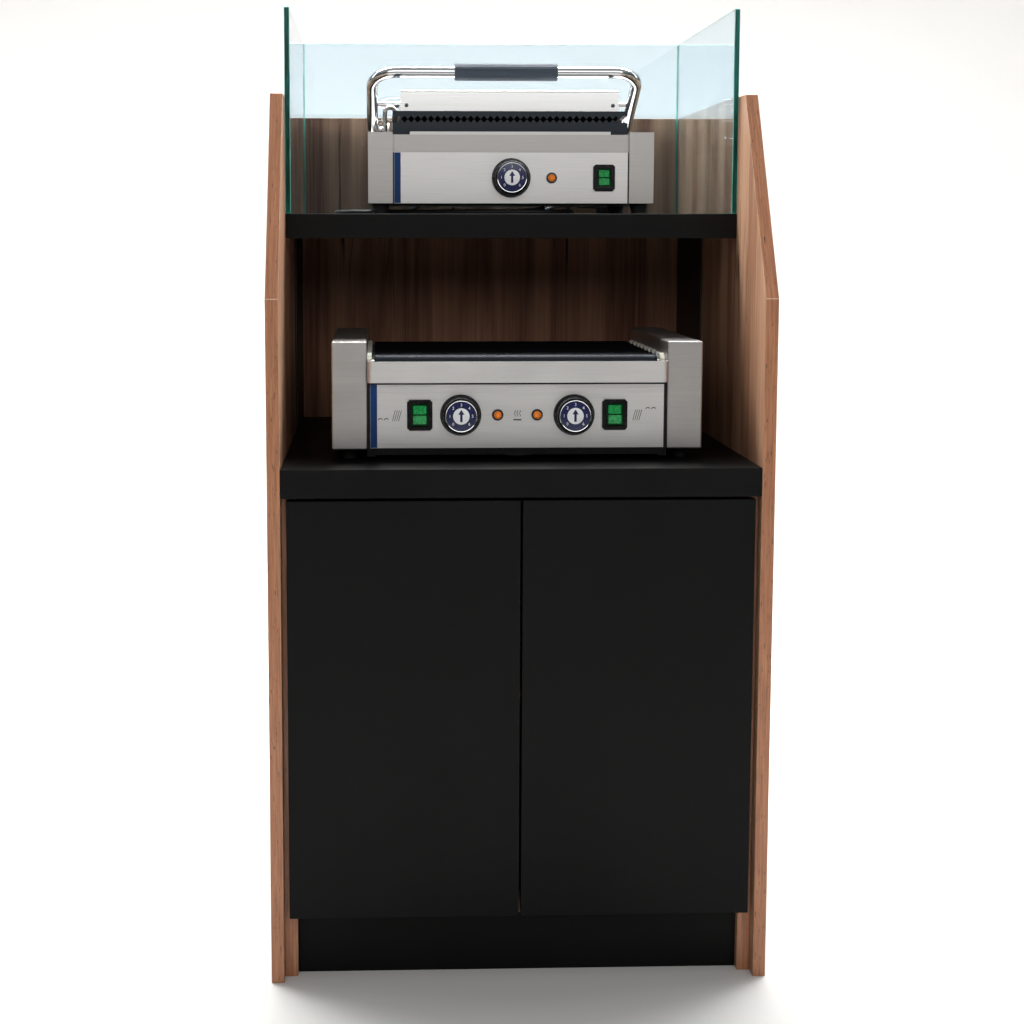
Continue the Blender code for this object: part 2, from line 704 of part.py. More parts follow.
def knob(name, frame, finish, front, x, height):
    """A turned dial with a skirt, tapered grip and a sunk disc in its face."""
    face = -KNOB_DEPTH
    profile = [
        (face + KNOB_SINK, KNOB_RADIUS - KNOB_DISC_INSET),
        (face, KNOB_RADIUS - KNOB_FACE_INSET),
        (face + KNOB_ROUND, KNOB_RADIUS - KNOB_SHOULDER_INSET),
        (-KNOB_SKIRT - KNOB_NECK, KNOB_RADIUS - KNOB_NECK_INSET),
        (-KNOB_SKIRT, KNOB_RADIUS),
        (0.0, KNOB_RADIUS),
    ]
    place = (x, front - BEZEL_PROUD - FIT, height)
    return solid(name, turned(profile, KNOB_SIDES, "Y"), finish, place, frame)


def lamp(name, frame, finish, front, x, height):
    """A domed signal lamp on its bezel."""
    profile = []
    for rise, spread in arc((0.0, 0.0), 1.0, LAMP_FLAT, 90, LAMP_STEPS):
        profile.append((-LAMP_DOME * rise - LAMP_COLLAR, LAMP_RADIUS * spread))
    profile.append((0.0, LAMP_RADIUS))
    place = (x, front - BEZEL_PROUD - FIT, height)
    return solid(name, turned(profile, SMALL_SIDES, "Y"), finish, place, frame)


def rocker(name, frame, finish, front, x, height, size):
    """A rocker switch with a hollowed face, tilted to its off side about its own axis."""
    half_wide = size[0] / 2 - FRAME_RIM
    half_tall = size[1] / 2 - FRAME_RIM
    proud = FRAME_PROUD + ROCKER_PROUD
    face_end = half_tall - ROCKER_EASE
    back_end = half_tall - 2 * ROCKER_EASE
    outline = [
        (-proud, face_end),
        (-proud + ROCKER_HOLLOW, 0.0),
        (-proud, -face_end),
        (-ROCKER_END, -back_end),
        (ROCKER_HEEL, -ROCKER_HEEL_HALF),
        (ROCKER_HEEL, ROCKER_HEEL_HALF),
        (-ROCKER_END, back_end),
    ]
    item = solid(name, prism(outline, "X", -half_wide, half_wide), finish, (x, front, height), frame)
    item.rotation_euler = (-ROCKER_TILT, 0.0, 0.0)
    return item


# Roller grill

def roller_housings(frame, steel):
    """Side housings on rubber feet."""
    top = ROLLER_FOOT + HOUSING_HEIGHT
    for name, side in SIDES.items():
        near, far = sorted((side * ROLLER_INNER, side * ROLLER_WIDTH / 2))
        low = (near, 0.0, ROLLER_FOOT)
        item = board(f"roller_housing_{name}", low, (far, ROLLER_DEPTH, top), steel, frame, STEEL_EDGE, 2)
        feet = bmesh.new()
        for along in (ROLLER_FOOT_INSET, ROLLER_DEPTH - ROLLER_FOOT_INSET):
            radius = ROLLER_FOOT_RADIUS
            profile = [(0.0, radius * FOOT_TAPER), (ROLLER_FOOT + SHEET / 2, radius)]
            middle = side * (ROLLER_INNER + HOUSING_WIDTH / 2)
            add_turned(feet, profile, SMALL_SIDES, "Z", (middle, along, 0.0))
        bmesh.ops.translate(feet, verts=feet.verts[:], vec=-item.location)
        combine(item, feet, "UNION")
        reach = (HOUSING_WIDTH / 2 - SHEET, ROLLER_DEPTH / 2 - SHEET, HOUSING_HEIGHT / 2 - SHEET)
        room = ([-size for size in reach], reach)
        hollow_out(item, [room], -HOUSING_HEIGHT / 2, (0.0, 0.0))


def roller_chassis(frame, steel):
    """A frame of four walls, open above and below, with rails for the drip tray and a gland."""
    far = CHASSIS_HALF
    rear = ROLLER_DEPTH
    item = solid(
        "roller_chassis",
        box((-far, CHASSIS_FRONT, RAIL_BOTTOM), (far, rear, REAR_WALL_TOP)),
        steel,
        frame=frame,
    )
    inside = far - CHASSIS_WALL
    front_wall = CHASSIS_FRONT + CHASSIS_WALL
    rear_wall = rear - CHASSIS_WALL
    past = 2 * REAR_WALL_TOP
    rail_top = RAIL_BOTTOM + CHASSIS_WALL
    tray_top = TRAY_FLOOR + TRAY_HEIGHT + RUNNING
    combine(item, box((-far - FIT, -FIT, CHASSIS_TOP), (far + FIT, rear_wall, past)), "DIFFERENCE")
    combine(item, box((-inside, front_wall, rail_top), (inside, rear_wall, past)), "DIFFERENCE")
    gap = inside - RAIL_WIDTH
    combine(item, box((-gap, front_wall, -past), (gap, rear_wall, past)), "DIFFERENCE")
    combine(item, box((-inside, -FIT, rail_top), (inside, front_wall + FIT, tray_top)), "DIFFERENCE")
    combine(item, box((-gap, -FIT, -past), (gap, front_wall + FIT, tray_top)), "DIFFERENCE")
    gland = [
        (rear_wall, GLAND_RADIUS),
        (rear + ROLLER_GLAND_NUT, GLAND_RADIUS),
        (rear + ROLLER_GLAND_LENGTH, ROLLER_GLAND_MOUTH),
    ]
    combine(item, turned(gland, SMALL_SIDES, "Y", (ROLLER_GLAND_X, 0.0, ROLLER_GLAND_HEIGHT)), "UNION")


def roller_guard(frame, steel):
    """A folded front guard with rounded front corners, open at its top and back."""
    half = CHASSIS_HALF - FIT
    low = CHASSIS_TOP + FIT

    def outline(inset):
        radius = GUARD_CORNER - inset
        side = half - inset
        face = -GUARD_PROUD + inset
        left = arc((-side + radius, face + radius), radius, 180, 270, 4)
        right = arc((side - radius, face + radius), radius, 270, 360, 4)
        back = GUARD_BACK + inset
        return [(-side, back), *left, *right, (side, back)]

    item = solid("roller_guard", prism(outline(0.0), "Z", low, low + GUARD_HEIGHT), steel, frame=frame)
    hollow = prism(outline(GUARD_SHEET), "Z", low + GUARD_SHEET, low + 2 * GUARD_HEIGHT)
    combine(item, hollow, "DIFFERENCE")


def roller_axes():
    """Distances of the roller axes behind the front face."""
    return [FIRST_ROLLER + k * ROLLER_PITCH for k in range(ROLLER_COUNT)]


def bearing_strips(frame, plastic):
    """Scalloped strips that stand on the chassis walls and hold the stub axles."""
    axes = roller_axes()
    low = CHASSIS_TOP + FIT
    outline = [(axes[0] - BEARING_END, low), (axes[-1] + BEARING_END, low)]
    outline.append((axes[-1] + BEARING_END, ROLLER_AXIS_HEIGHT))
    for y in reversed(axes):
        outline.extend(arc((y, ROLLER_AXIS_HEIGHT), BEARING_LOBE, 0, 180, 6))
    outline.append((axes[0] - BEARING_END, ROLLER_AXIS_HEIGHT))
    for name, side in SIDES.items():
        start, end = sorted((side * BEARING_FACE, side * CHASSIS_HALF))
        item = solid(f"bearing_strip_{name}", prism(outline, "X", start, end), plastic, frame=frame)
        bores = bmesh.new()
        radius = bore_radius(STUB_RADIUS, SMALL_SIDES)
        through = [(start - BEARING_THICK, radius), (end + BEARING_THICK, radius)]
        for y in axes:
            add_turned(bores, through, SMALL_SIDES, "X", (0.0, y, ROLLER_AXIS_HEIGHT))
        combine(item, bores, "DIFFERENCE")


def rollers(frame, coating):
    """Rollers with stub axles, each with its origin on its own axis."""
    end = BEARING_FACE - ROLLER_END_GAP
    profile = [
        (-CHASSIS_HALF, STUB_RADIUS),
        (-end, STUB_RADIUS),
        (-end, ROLLER_RADIUS),
        (end, ROLLER_RADIUS),
        (end, STUB_RADIUS),
        (CHASSIS_HALF, STUB_RADIUS),
    ]
    for number, y in enumerate(roller_axes(), start=1):
        mesh = turned(profile, ROLLER_SIDES, "X")
        solid(f"roller_{number}", mesh, coating, (0.0, y, ROLLER_AXIS_HEIGHT), frame)


def drip_tray(frame, steel):
    """A shallow open tray on the chassis rails, with a pull tab at its front."""
    front = CHASSIS_FRONT + CHASSIS_WALL
    back = ROLLER_DEPTH - CHASSIS_WALL - FIT
    low = (-TRAY_HALF, front, TRAY_FLOOR)
    mesh = open_tray(low, (TRAY_HALF, back, TRAY_FLOOR + TRAY_HEIGHT), TRAY_WALL)
    item = solid("drip_tray", mesh, steel, frame=frame)
    half = TAB_WIDTH / 2
    root = front + TRAY_WALL / 2
    tip = [(half * x, front - TAB_REACH * y) for x, y in arc((0.0, 0.0), 1.0, 180, 0, 8)]
    outline = [(-half, root), *tip, (half, root)]
    combine(item, prism(outline, "Z", TRAY_FLOOR, TRAY_FLOOR + TRAY_WALL), "UNION")


def roller_grill(finishes):
    """The roller grill that stands on the worktop."""
    frame = anchor("roller_grill", (0.0, FRONT + ROLLER_SETBACK, WORKTOP_TOP + FIT))
    steel = finishes["steel"]
    roller_housings(frame, steel)
    roller_chassis(frame, steel)
    front = ROLLER_PANEL_SETBACK
    height = ROLLER_CONTROL_HEIGHT
    size = (ROLLER_SWITCH_WIDTH, ROLLER_SWITCH_HEIGHT)
    pair = (-1, 1)
    switches = [k * ROLLER_SWITCH_X for k in pair]
    knobs = [k * ROLLER_KNOB_X for k in pair]
    lamps = [k * ROLLER_LAMP_X for k in pair]
    controls = (height, switches, knobs, lamps)
    back = front + ROLLER_PANEL_THICK
    half = CHASSIS_HALF - ROLLER_PANEL_GAP
    high = CHASSIS_TOP
    control_panel("roller_panel", frame, steel, half, front, back, ROLLER_PANEL_BOTTOM, high, controls, size)
    for name, k in zip(SIDES, range(2)):
        knob(f"roller_knob_{name}", frame, finishes["knob"], front, knobs[k], height)
        lamp(f"roller_lamp_{name}", frame, finishes["amber"], front, lamps[k], height)
        rocker(f"roller_switch_{name}", frame, finishes["green"], front, switches[k], height, size)
    roller_guard(frame, steel)
    bearing_strips(frame, finishes["white"])
    rollers(frame, finishes["coating"])
    drip_tray(frame, steel)


# Contact grill

def contact_base(frame, steel):
    """Body and side housings in one shell, with feet, tray slot and lugs for the lid's pivot."""
    half = CONTACT_WIDTH / 2
    body_top = LOWER_PLATE_BASE - FIT
    outline = [
        (-half, CONTACT_FOOT),
        (half, CONTACT_FOOT),
        (half, CONTACT_TOP),
        (CONTACT_INNER, CONTACT_TOP),
        (CONTACT_INNER, body_top),
        (-CONTACT_INNER, body_top),
        (-CONTACT_INNER, CONTACT_TOP),
        (-half, CONTACT_TOP),
    ]
    item = solid("contact_base", prism(outline, "Y", 0.0, CONTACT_DEPTH), steel, frame=frame)
    past = 2 * CONTACT_TOP
    recess = box((-CONTACT_INNER, -FIT, -past), (CONTACT_INNER, CONTACT_BODY_FRONT, past))
    combine(item, recess, "DIFFERENCE")
    side = CONTACT_INNER - GREASE_SIDE
    slot_back = CONTACT_BODY_FRONT + GREASE_DEPTH + RUNNING
    combine(item, box((-side, -FIT, GREASE_BASE - FIT), (side, slot_back, past)), "DIFFERENCE")
    added = bmesh.new()
    foot_x = half - CONTACT_HOUSING_WIDTH / 2
    radius = CONTACT_FOOT_RADIUS
    profile = [(0.0, radius * FOOT_TAPER), (CONTACT_FOOT + SHEET / 2, radius)]
    for x in (-foot_x, foot_x):
        for y in (CONTACT_FOOT_INSET, CONTACT_DEPTH - CONTACT_FOOT_INSET):
            add_turned(added, profile, SMALL_SIDES, "Z", (x, y, 0.0))
    lug_low = CONTACT_TOP - SHEET / 2
    crown = arc((PIVOT_BACK, PIVOT_HEIGHT), LUG_RADIUS, 0, 180, 8)
    lug = [(PIVOT_BACK - LUG_RADIUS, lug_low), (PIVOT_BACK + LUG_RADIUS, lug_low), *crown]
    bores = bmesh.new()
    radius = bore_radius(HANDLE_RADIUS, ROUND_SIDES)
    for side in SIDES.values():
        lug_face = CONTACT_INNER + LUG_INSET
        near, far = sorted((side * lug_face, side * (lug_face + LUG_THICK)))
        add_prism(added, lug, "X", near, far)
        through = [(near - FIT, radius), (far + FIT, radius)]
        add_turned(bores, through, ROUND_SIDES, "X", (0.0, PIVOT_BACK, PIVOT_HEIGHT))
    combine(item, added, "UNION")
    combine(item, bores, "DIFFERENCE")
    hollow_out(item, contact_rooms(slot_back), CONTACT_FOOT, (0.0, CONTACT_DEPTH * 2 / 3))


def contact_rooms(slot_back):
    """Hollow spaces of the base: under the tray, in both side housings and behind the tray."""
    floor = CONTACT_FOOT + SHEET
    rear = CONTACT_DEPTH - SHEET
    outside = CONTACT_WIDTH / 2 - SHEET
    inside = CONTACT_INNER + SHEET
    tray_floor = GREASE_BASE - FIT - SHEET
    side_top = CONTACT_TOP - SHEET
    body_top = LOWER_PLATE_BASE - FIT - SHEET
    return [
        ((-outside, CONTACT_BODY_FRONT + SHEET, floor), (outside, rear, tray_floor)),
        ((inside, SHEET, floor), (outside, rear, side_top)),
        ((-outside, SHEET, floor), (-inside, rear, side_top)),
        ((-CONTACT_INNER, slot_back + SHEET, floor), (CONTACT_INNER, rear, body_top)),
    ]


def grease_tray(frame, steel):
    """A shallow drawer under the lower plate with a front that stands up before the plate."""
    half = CONTACT_INNER - GREASE_SIDE - RUNNING
    back = CONTACT_BODY_FRONT + GREASE_DEPTH
    front = CONTACT_BODY_FRONT - FIT
    rim = GREASE_BASE + GREASE_HEIGHT
    mesh = open_tray((-half, front - FIT, GREASE_BASE), (half, back, rim), GREASE_WALL)
    item = solid("grease_tray", mesh, steel, frame=frame)
    wide = CONTACT_INNER - CONTACT_PANEL_GAP
    low = (-wide, front - GREASE_FRONT_THICK, GREASE_BASE)
    face = box(low, (wide, front, GREASE_BASE + GREASE_FRONT_HEIGHT))
    combine(item, face, "UNION")


def ribbed_plate(name, frame, iron, place, base, thick, up):
    """A cast plate with V ribs that run from front to back on the side given by up."""
    count = int(2 * PLATE_HALF / RIB_PITCH) - 1
    start = -count * RIB_PITCH / 2
    level = base + up * thick
    outline = [(-PLATE_HALF, base), (PLATE_HALF, base), (PLATE_HALF, level)]
    for k in range(count, 0, -1):
        outline.append((start + k * RIB_PITCH, level))
        outline.append((start + (k - 0.5) * RIB_PITCH, level + up * RIB_HEIGHT))
    outline.append((start, level))
    outline.append((-PLATE_HALF, level))
    local = [(x, z - place[2]) for x, z in outline]
    near = PLATE_FRONT - place[1]
    return solid(name, prism(local, "Y", near, near + PLATE_DEPTH), iron, frame=frame)


def lid(frame, finishes):
    """Handle on the base's lugs, and the upper plate that hangs on the handle's rod."""
    pivot = (0.0, PIVOT_BACK, PIVOT_HEIGHT)
    lid_frame = anchor("lid_pivot", pivot, frame)
    bar = (BAR_BACK - PIVOT_BACK, BAR_RISE)
    stub = CONTACT_INNER + LUG_INSET
    corners = [
        (-stub, 0.0, 0.0),
        (-ARM_X, 0.0, 0.0),
        (-ARM_X, *bar),
        (ARM_X, *bar),
        (ARM_X, 0.0, 0.0),
        (stub, 0.0, 0.0),
    ]
    bends = [HANDLE_FOOT_BEND, HANDLE_BEND, HANDLE_BEND, HANDLE_FOOT_BEND]
    path = rounded_path(corners, bends, BEND_STEPS)
    tube("handle", path, HANDLE_RADIUS, 4, finishes["chrome"], frame=lid_frame)
    grip(lid_frame, finishes["rubber"], bar)
    rod_place = (ROD_BACK - PIVOT_BACK, ROD_HEIGHT - PIVOT_HEIGHT)
    end = ARM_X - HANDLE_RADIUS - FIT
    mesh = turned([(-end, ROD_RADIUS), (end, ROD_RADIUS)], SMALL_SIDES, "X")
    solid("plate_rod", mesh, finishes["chrome"], (0.0, *rod_place), lid_frame)
    flexible_lead(lid_frame, finishes["lead"])
    plate_frame = anchor("plate_pivot", (0.0, *rod_place), lid_frame)
    place = (0.0, ROD_BACK, ROD_HEIGHT)
    ribbed_plate("upper_plate", plate_frame, finishes["iron"], place, UPPER_PLATE_TOP, UPPER_PLATE_THICK, -1)
    top_cover(plate_frame, finishes["steel"], place)


def grip(frame, rubber, bar):
    """A sleeve on the handle bar."""
    mesh = turned([(-GRIP_LENGTH / 2, GRIP_RADIUS), (GRIP_LENGTH / 2, GRIP_RADIUS)], ROUND_SIDES, "X")
    item = solid("handle_grip", mesh, rubber, (0.0, *bar), frame)
    radius = bore_radius(HANDLE_RADIUS, ROUND_SIDES)
    combine(item, turned([(-GRIP_LENGTH, radius), (GRIP_LENGTH, radius)], ROUND_SIDES, "X"), "DIFFERENCE")


def flexible_lead(frame, finish):
    """A short wound metal conduit that arches from the left housing to the upper plate."""
    outside = -(PLATE_HALF + ARM_X - HANDLE_RADIUS) / 2
    inside = -(COVER_HALF + PLATE_HALF) / 2
    bend = (inside - outside) / 2 - FIT
    y = ROD_BACK - LEAD_AHEAD - PIVOT_BACK
    plate = UPPER_PLATE_TOP + FIT - PIVOT_HEIGHT
    top = plate + bend + 2 * LEAD_RADIUS
    corners = [
        (outside, y, CONTACT_TOP + FIT - PIVOT_HEIGHT),
        (outside, y, top),
        (inside, y, top),
        (inside, y, plate),
    ]
    path = even_points(rounded_path(corners, [bend, bend], BEND_STEPS), LEAD_RIB_PITCH / 2)
    item = tube("flexible_lead", path, LEAD_RADIUS, 2, finish, frame=frame)
    points = item.data.splines[0].points
    for k in range(1, len(points) - 1, 2):
        points[k].radius = 1.0 - LEAD_RIB_DEPTH / LEAD_RADIUS


def top_cover(frame, steel, place):
    """A folded cover over the upper plate, open below, with holes for the rod."""
    low = Vector((-COVER_HALF, PLATE_FRONT + COVER_INSET_FRONT, COVER_BASE)) - Vector(place)
    high = Vector((COVER_HALF, PLATE_FRONT + PLATE_DEPTH - FIT, COVER_TOP)) - Vector(place)
    mesh = box(low, high)
    upright = [edge for edge in mesh.edges if min(vert.co.z for vert in edge.verts) > low.z]
    bmesh.ops.bevel(mesh, geom=upright, offset=COVER_EDGE, segments=3, affect="EDGES", profile=0.5)
    item = solid("top_cover", mesh, steel, frame=frame)
    sheet = Vector((COVER_SHEET, COVER_SHEET, COVER_SHEET))
    hollow_low = low + sheet
    hollow_low.z = low.z - COVER_HEIGHT
    combine(item, box(hollow_low, high - sheet), "DIFFERENCE")
    radius = bore_radius(ROD_RADIUS, SMALL_SIDES)
    combine(item, turned([(-CONTACT_WIDTH, radius), (CONTACT_WIDTH, radius)], SMALL_SIDES, "X"), "DIFFERENCE")


def mains_cord(frame, rubber):
    """Gland, cord and plug, lying on the shelf behind and under the grill."""
    sleeve = CORD_RADIUS + SLEEVE_WALL
    profile = [
        (0.0, GLAND_RADIUS),
        (GLAND_NUT, GLAND_RADIUS),
        (GLAND_NUT, GLAND_NECK_RADIUS),
        (GLAND_LENGTH, sleeve),
    ]
    place = (GLAND_X, CONTACT_DEPTH + FIT, GLAND_HEIGHT)
    solid("cord_gland", turned(profile, SMALL_SIDES, "Y"), rubber, place, frame)
    tube("mains_cord", smooth_route(CORD_ROUTE, CORD_STEP), CORD_RADIUS, 2, rubber, frame=frame)
    body = PLUG_RELIEF + PLUG_BODY
    profile = [
        (0.0, sleeve),
        (PLUG_RELIEF, CORD_RADIUS + PLUG_RELIEF_WALL),
        (PLUG_RELIEF, PLUG_NECK_RADIUS),
        (PLUG_RELIEF + PLUG_SHOULDER, PLUG_RADIUS),
        (body, PLUG_RADIUS),
    ]
    plug = solid("mains_plug", turned(profile, ROUND_SIDES, "X"), rubber, PLUG_AT, frame)
    pins = bmesh.new()
    for side in (-1, 1):
        pin = [(body - PLUG_BODY / 2, PLUG_PIN_RADIUS), (body + PLUG_PIN_LENGTH, PLUG_PIN_RADIUS)]
        add_turned(pins, pin, PIN_SIDES, "X", (0.0, side * PLUG_PIN_SPACING / 2, 0.0))
    combine(plug, pins, "UNION")


def contact_grill(finishes):
    """The contact grill that stands on the upper shelf."""
    frame = anchor("contact_grill", (CONTACT_SHIFT, FRONT + CONTACT_SETBACK, SHELF_TOP + FIT))
    steel = finishes["steel"]
    contact_base(frame, steel)
    front = CONTACT_PANEL_SETBACK
    height = CONTACT_CONTROL_HEIGHT
    size = (CONTACT_SWITCH_WIDTH, CONTACT_SWITCH_HEIGHT)
    controls = (height, [CONTACT_SWITCH_X], [0.0], [CONTACT_LAMP_X])
    back = front + CONTACT_PANEL_THICK
    half = CONTACT_INNER - CONTACT_PANEL_GAP
    high = CONTACT_FOOT + CONTACT_PANEL_HEIGHT
    control_panel("contact_panel", frame, steel, half, front, back, CONTACT_FOOT, high, controls, size)
    knob("contact_knob", frame, finishes["knob"], front, 0.0, height)
    lamp("contact_lamp", frame, finishes["amber"], front, CONTACT_LAMP_X, height)
    rocker("contact_switch", frame, finishes["green"], front, CONTACT_SWITCH_X, height, size)
    grease_tray(frame, steel)
    origin = (0.0, 0.0, 0.0)
    ribbed_plate("lower_plate", frame, finishes["iron"], origin, LOWER_PLATE_BASE, LOWER_PLATE_THICK, 1)
    lid(frame, finishes)
    mains_cord(frame, finishes["rubber"])


def build():
    clear_scene()
    decor = look("walnut_decor_board", (0.40, 0.24, 0.16), 0.45)
    black = look("black_laminate", (0.012, 0.012, 0.013), 0.40)
    glass = look("clear_glass", (0.80, 0.93, 0.95), 0.02, transmission=0.9)
    finishes = {
        "steel": look("brushed_stainless", (0.56, 0.55, 0.54), 0.32, 1.0),
        "chrome": look("polished_chrome", (0.75, 0.75, 0.75), 0.06, 1.0),
        "coating": look("non_stick_coating", (0.015, 0.017, 0.020), 0.35),
        "iron": look("cast_iron_plate", (0.020, 0.021, 0.024), 0.55),
        "white": look("white_bearing_plastic", (0.75, 0.74, 0.70), 0.40),
        "knob": look("blue_black_dial", (0.020, 0.026, 0.060), 0.30),
        "amber": look("amber_lens", (0.80, 0.22, 0.02), 0.15),
        "green": look("green_rocker", (0.010, 0.22, 0.090), 0.20),
        "rubber": look("black_rubber", (0.012, 0.012, 0.012), 0.60),
        "lead": look("metal_conduit", (0.55, 0.55, 0.54), 0.35, 1.0),
    }
    bracket = look("black_steel", (0.010, 0.010, 0.011), 0.45, 0.5)
    outer_sides(decor)
    carcass_sides(decor)
    cabinet_panels(decor, black)
    shelf_supports(bracket)
    glass_guard(glass)
    doors(black)
    hinge_arms(look("nickel_steel", (0.60, 0.60, 0.58), 0.30, 1.0))
    roller_grill(finishes)
    contact_grill(finishes)


build()
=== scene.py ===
"""Finishes, fittings, mains lead and studio for a hot dog counter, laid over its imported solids."""

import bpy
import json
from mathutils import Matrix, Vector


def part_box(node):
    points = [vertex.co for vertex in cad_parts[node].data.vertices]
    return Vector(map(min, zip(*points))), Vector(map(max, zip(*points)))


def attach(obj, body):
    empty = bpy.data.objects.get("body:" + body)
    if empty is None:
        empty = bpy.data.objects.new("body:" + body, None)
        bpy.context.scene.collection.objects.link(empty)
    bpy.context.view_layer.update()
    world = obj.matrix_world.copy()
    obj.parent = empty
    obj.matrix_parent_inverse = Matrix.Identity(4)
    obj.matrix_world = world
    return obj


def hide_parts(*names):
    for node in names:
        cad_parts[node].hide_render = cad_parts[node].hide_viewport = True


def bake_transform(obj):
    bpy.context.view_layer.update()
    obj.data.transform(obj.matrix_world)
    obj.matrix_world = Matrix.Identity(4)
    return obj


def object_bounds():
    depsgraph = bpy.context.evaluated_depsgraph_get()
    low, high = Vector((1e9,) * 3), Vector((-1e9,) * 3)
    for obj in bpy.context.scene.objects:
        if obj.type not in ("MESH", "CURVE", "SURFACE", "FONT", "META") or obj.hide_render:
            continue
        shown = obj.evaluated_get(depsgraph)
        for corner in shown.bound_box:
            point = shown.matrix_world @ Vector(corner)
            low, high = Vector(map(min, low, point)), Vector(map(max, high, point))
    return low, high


bl_info = {
    "name": "Hot Dog Counter Finishes",
    "version": (1, 0, 0),
    "blender": (4, 5, 0),
    "location": "3D View > Sidebar > Counter",
    "description": "Dresses the solids of a hot dog counter and sets up its studio",
    "category": "Object",
}

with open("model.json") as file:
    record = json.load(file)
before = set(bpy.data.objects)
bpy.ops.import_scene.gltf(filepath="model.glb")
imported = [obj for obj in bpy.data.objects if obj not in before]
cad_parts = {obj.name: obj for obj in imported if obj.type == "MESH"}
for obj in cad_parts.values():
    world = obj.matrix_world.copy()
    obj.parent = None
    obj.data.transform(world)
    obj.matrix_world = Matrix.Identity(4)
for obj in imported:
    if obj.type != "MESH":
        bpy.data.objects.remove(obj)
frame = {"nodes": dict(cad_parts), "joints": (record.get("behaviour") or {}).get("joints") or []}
CAD_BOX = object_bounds()

import functools
import json
import math

import bmesh
import bpy
from bpy.props import FloatProperty, FloatVectorProperty, IntProperty, PointerProperty
from mathutils import Matrix, Vector

MM = 0.001
X_AXIS = Vector((1.0, 0.0, 0.0))
Y_AXIS = Vector((0.0, 1.0, 0.0))
Z_AXIS = Vector((0.0, 0.0, 1.0))
PROUD = 0.15 * MM          # how far a laid-on cover stands off its solid
PRINT = 0.08 * MM          # thickness of a printed sign
ROUND_SIDES = 48
SMALL_SIDES = 24
TINY_SIDES = 20
SHARP_ANGLE = math.radians(34)
SOFT_ANGLE = math.radians(40)
SQUARE = 0.9               # a face whose normal reaches this along an axis is square to it
GLASS_IOR = 1.52
POLYCARBONATE_IOR = 1.58

# Sizes of the solids that their boxes don't give
ROLLER_PANEL_SHEET = 2.0 * MM
CONTACT_PANEL_SHEET = 4.0 * MM
ROLLER_FRAME = (34.0 * MM, 42.0 * MM)
CONTACT_FRAME = (31.0 * MM, 38.0 * MM)
FRAME_PROUD = 3.0 * MM
FRAME_RIM = 5.5 * MM
ROCKER_GAP = 0.4 * MM
ROCKER_SWING = 1.0 * MM
ROCKER_PROUD = 0.8 * MM
ROCKER_HOLLOW = 1.6 * MM
ROCKER_TILT = math.radians(8)
BEZEL_PROUD = 2.0 * MM
DIAL_BEZEL = (29.0 * MM, 22.0 * MM)
LAMP_BEZEL = (7.8 * MM, 5.0 * MM)
FOOT_HEIGHT = 16.0 * MM
FOOT_TAPER = 0.82
FOOT_SLEEVE = 1.0 * MM
ROLLER_FOOT = 12.0 * MM
CONTACT_FOOT = 13.0 * MM
ROLLER_FEET = [(x, y) for x in (-0.238, 0.238) for y in (0.040, 0.320)]
CONTACT_FEET = [(x, y) for x in (-0.1965, 0.1965) for y in (0.025, 0.280)]
AXLE_LENGTH = 10.2 * MM
AXLE_RADIUS = 5.0 * MM
HANDLE_TUBE = 9.0 * MM
HANDLE_BAR_BEND = 38.0 * MM
HANDLE_STUB_BEND = 18.0 * MM
HANDLE_STUB_END = 0.1815
HINGE_CUP = 17.5 * MM
HINGE_CUP_PROUD = 1.0 * MM
HINGE_PLATE = 5.0 * MM
HINGE_CUP_X = 0.296
HINGE_HEIGHTS = (0.193, 0.586)
HINGE_SIDES = (("left", -1), ("right", 1))
CORD_RADIUS = 3.5 * MM

# Sizes of what is laid over the solids
GLASS_ARRIS = 0.9 * MM
HINGE_SCREW_RISE = 16.0 * MM
HINGE_SCREW_INSET = 14.0 * MM
HINGE_EAR = (13.0 * MM, 13.0 * MM, 4.0 * MM)
HINGE_EAR_RISE = 21.0 * MM
HINGE_EAR_PROUD = 0.8 * MM
HINGE_EAR_SHEET = 0.75 * MM
# Black strips of painted shadow in the seams of the control panels
SEAM_SHADOW_STRIP = 1.8 * MM
SEAM_MIDDLE = 1.1 * MM     # from the end of the contact panel to the middle of the seam
GUARD_SHADOW_STRIP = 3.4 * MM
GUARD_SHADOW_DROP = 1.8 * MM
SHADOW_STRIP_PROUD = 0.3 * MM
STRIPE_INSET = 0.2 * MM
STRIPE_FILM = 0.12 * MM
WINDOW_BORDER = 2.3 * MM
WINDOW_TRIM = 3.4 * MM
WINDOW_CORNER = 1.2 * MM
WINDOW_PROUD = 0.1 * MM
WINDOW_PLACE = 0.45        # from the rocker's axis, as a share of its half length
DIAL_FACE = 17.05 * MM
DIAL_CENTRE = 0.16 * MM
DIAL_SWEEP = 270
NUMERAL_RING = 16.0 * MM
NUMERAL_HEIGHT = 6.0 * MM
NUMERAL_PRINT = 0.05 * MM
POINTER_PRINT = 0.06 * MM
SIGN_CORNER = 0.3 * MM
ROLLER_SIGN_X = 0.1708
HOOK_SIGN_X = 0.1900
HANDLE_SIDES = 32
FLUTE_DEPTH = 0.45 * MM
CONDUIT_WAVE = 0.32 * MM
CONDUIT_STEPS = 6          # points along each turn of the conduit
LIP_SIZE = (304.0 * MM, 4.6 * MM, 0.8 * MM)
LIP_HEIGHT = 2.6 * MM
LIP_SHEET = 0.6 * MM
COVER_SCREW_INSET = 9.0 * MM

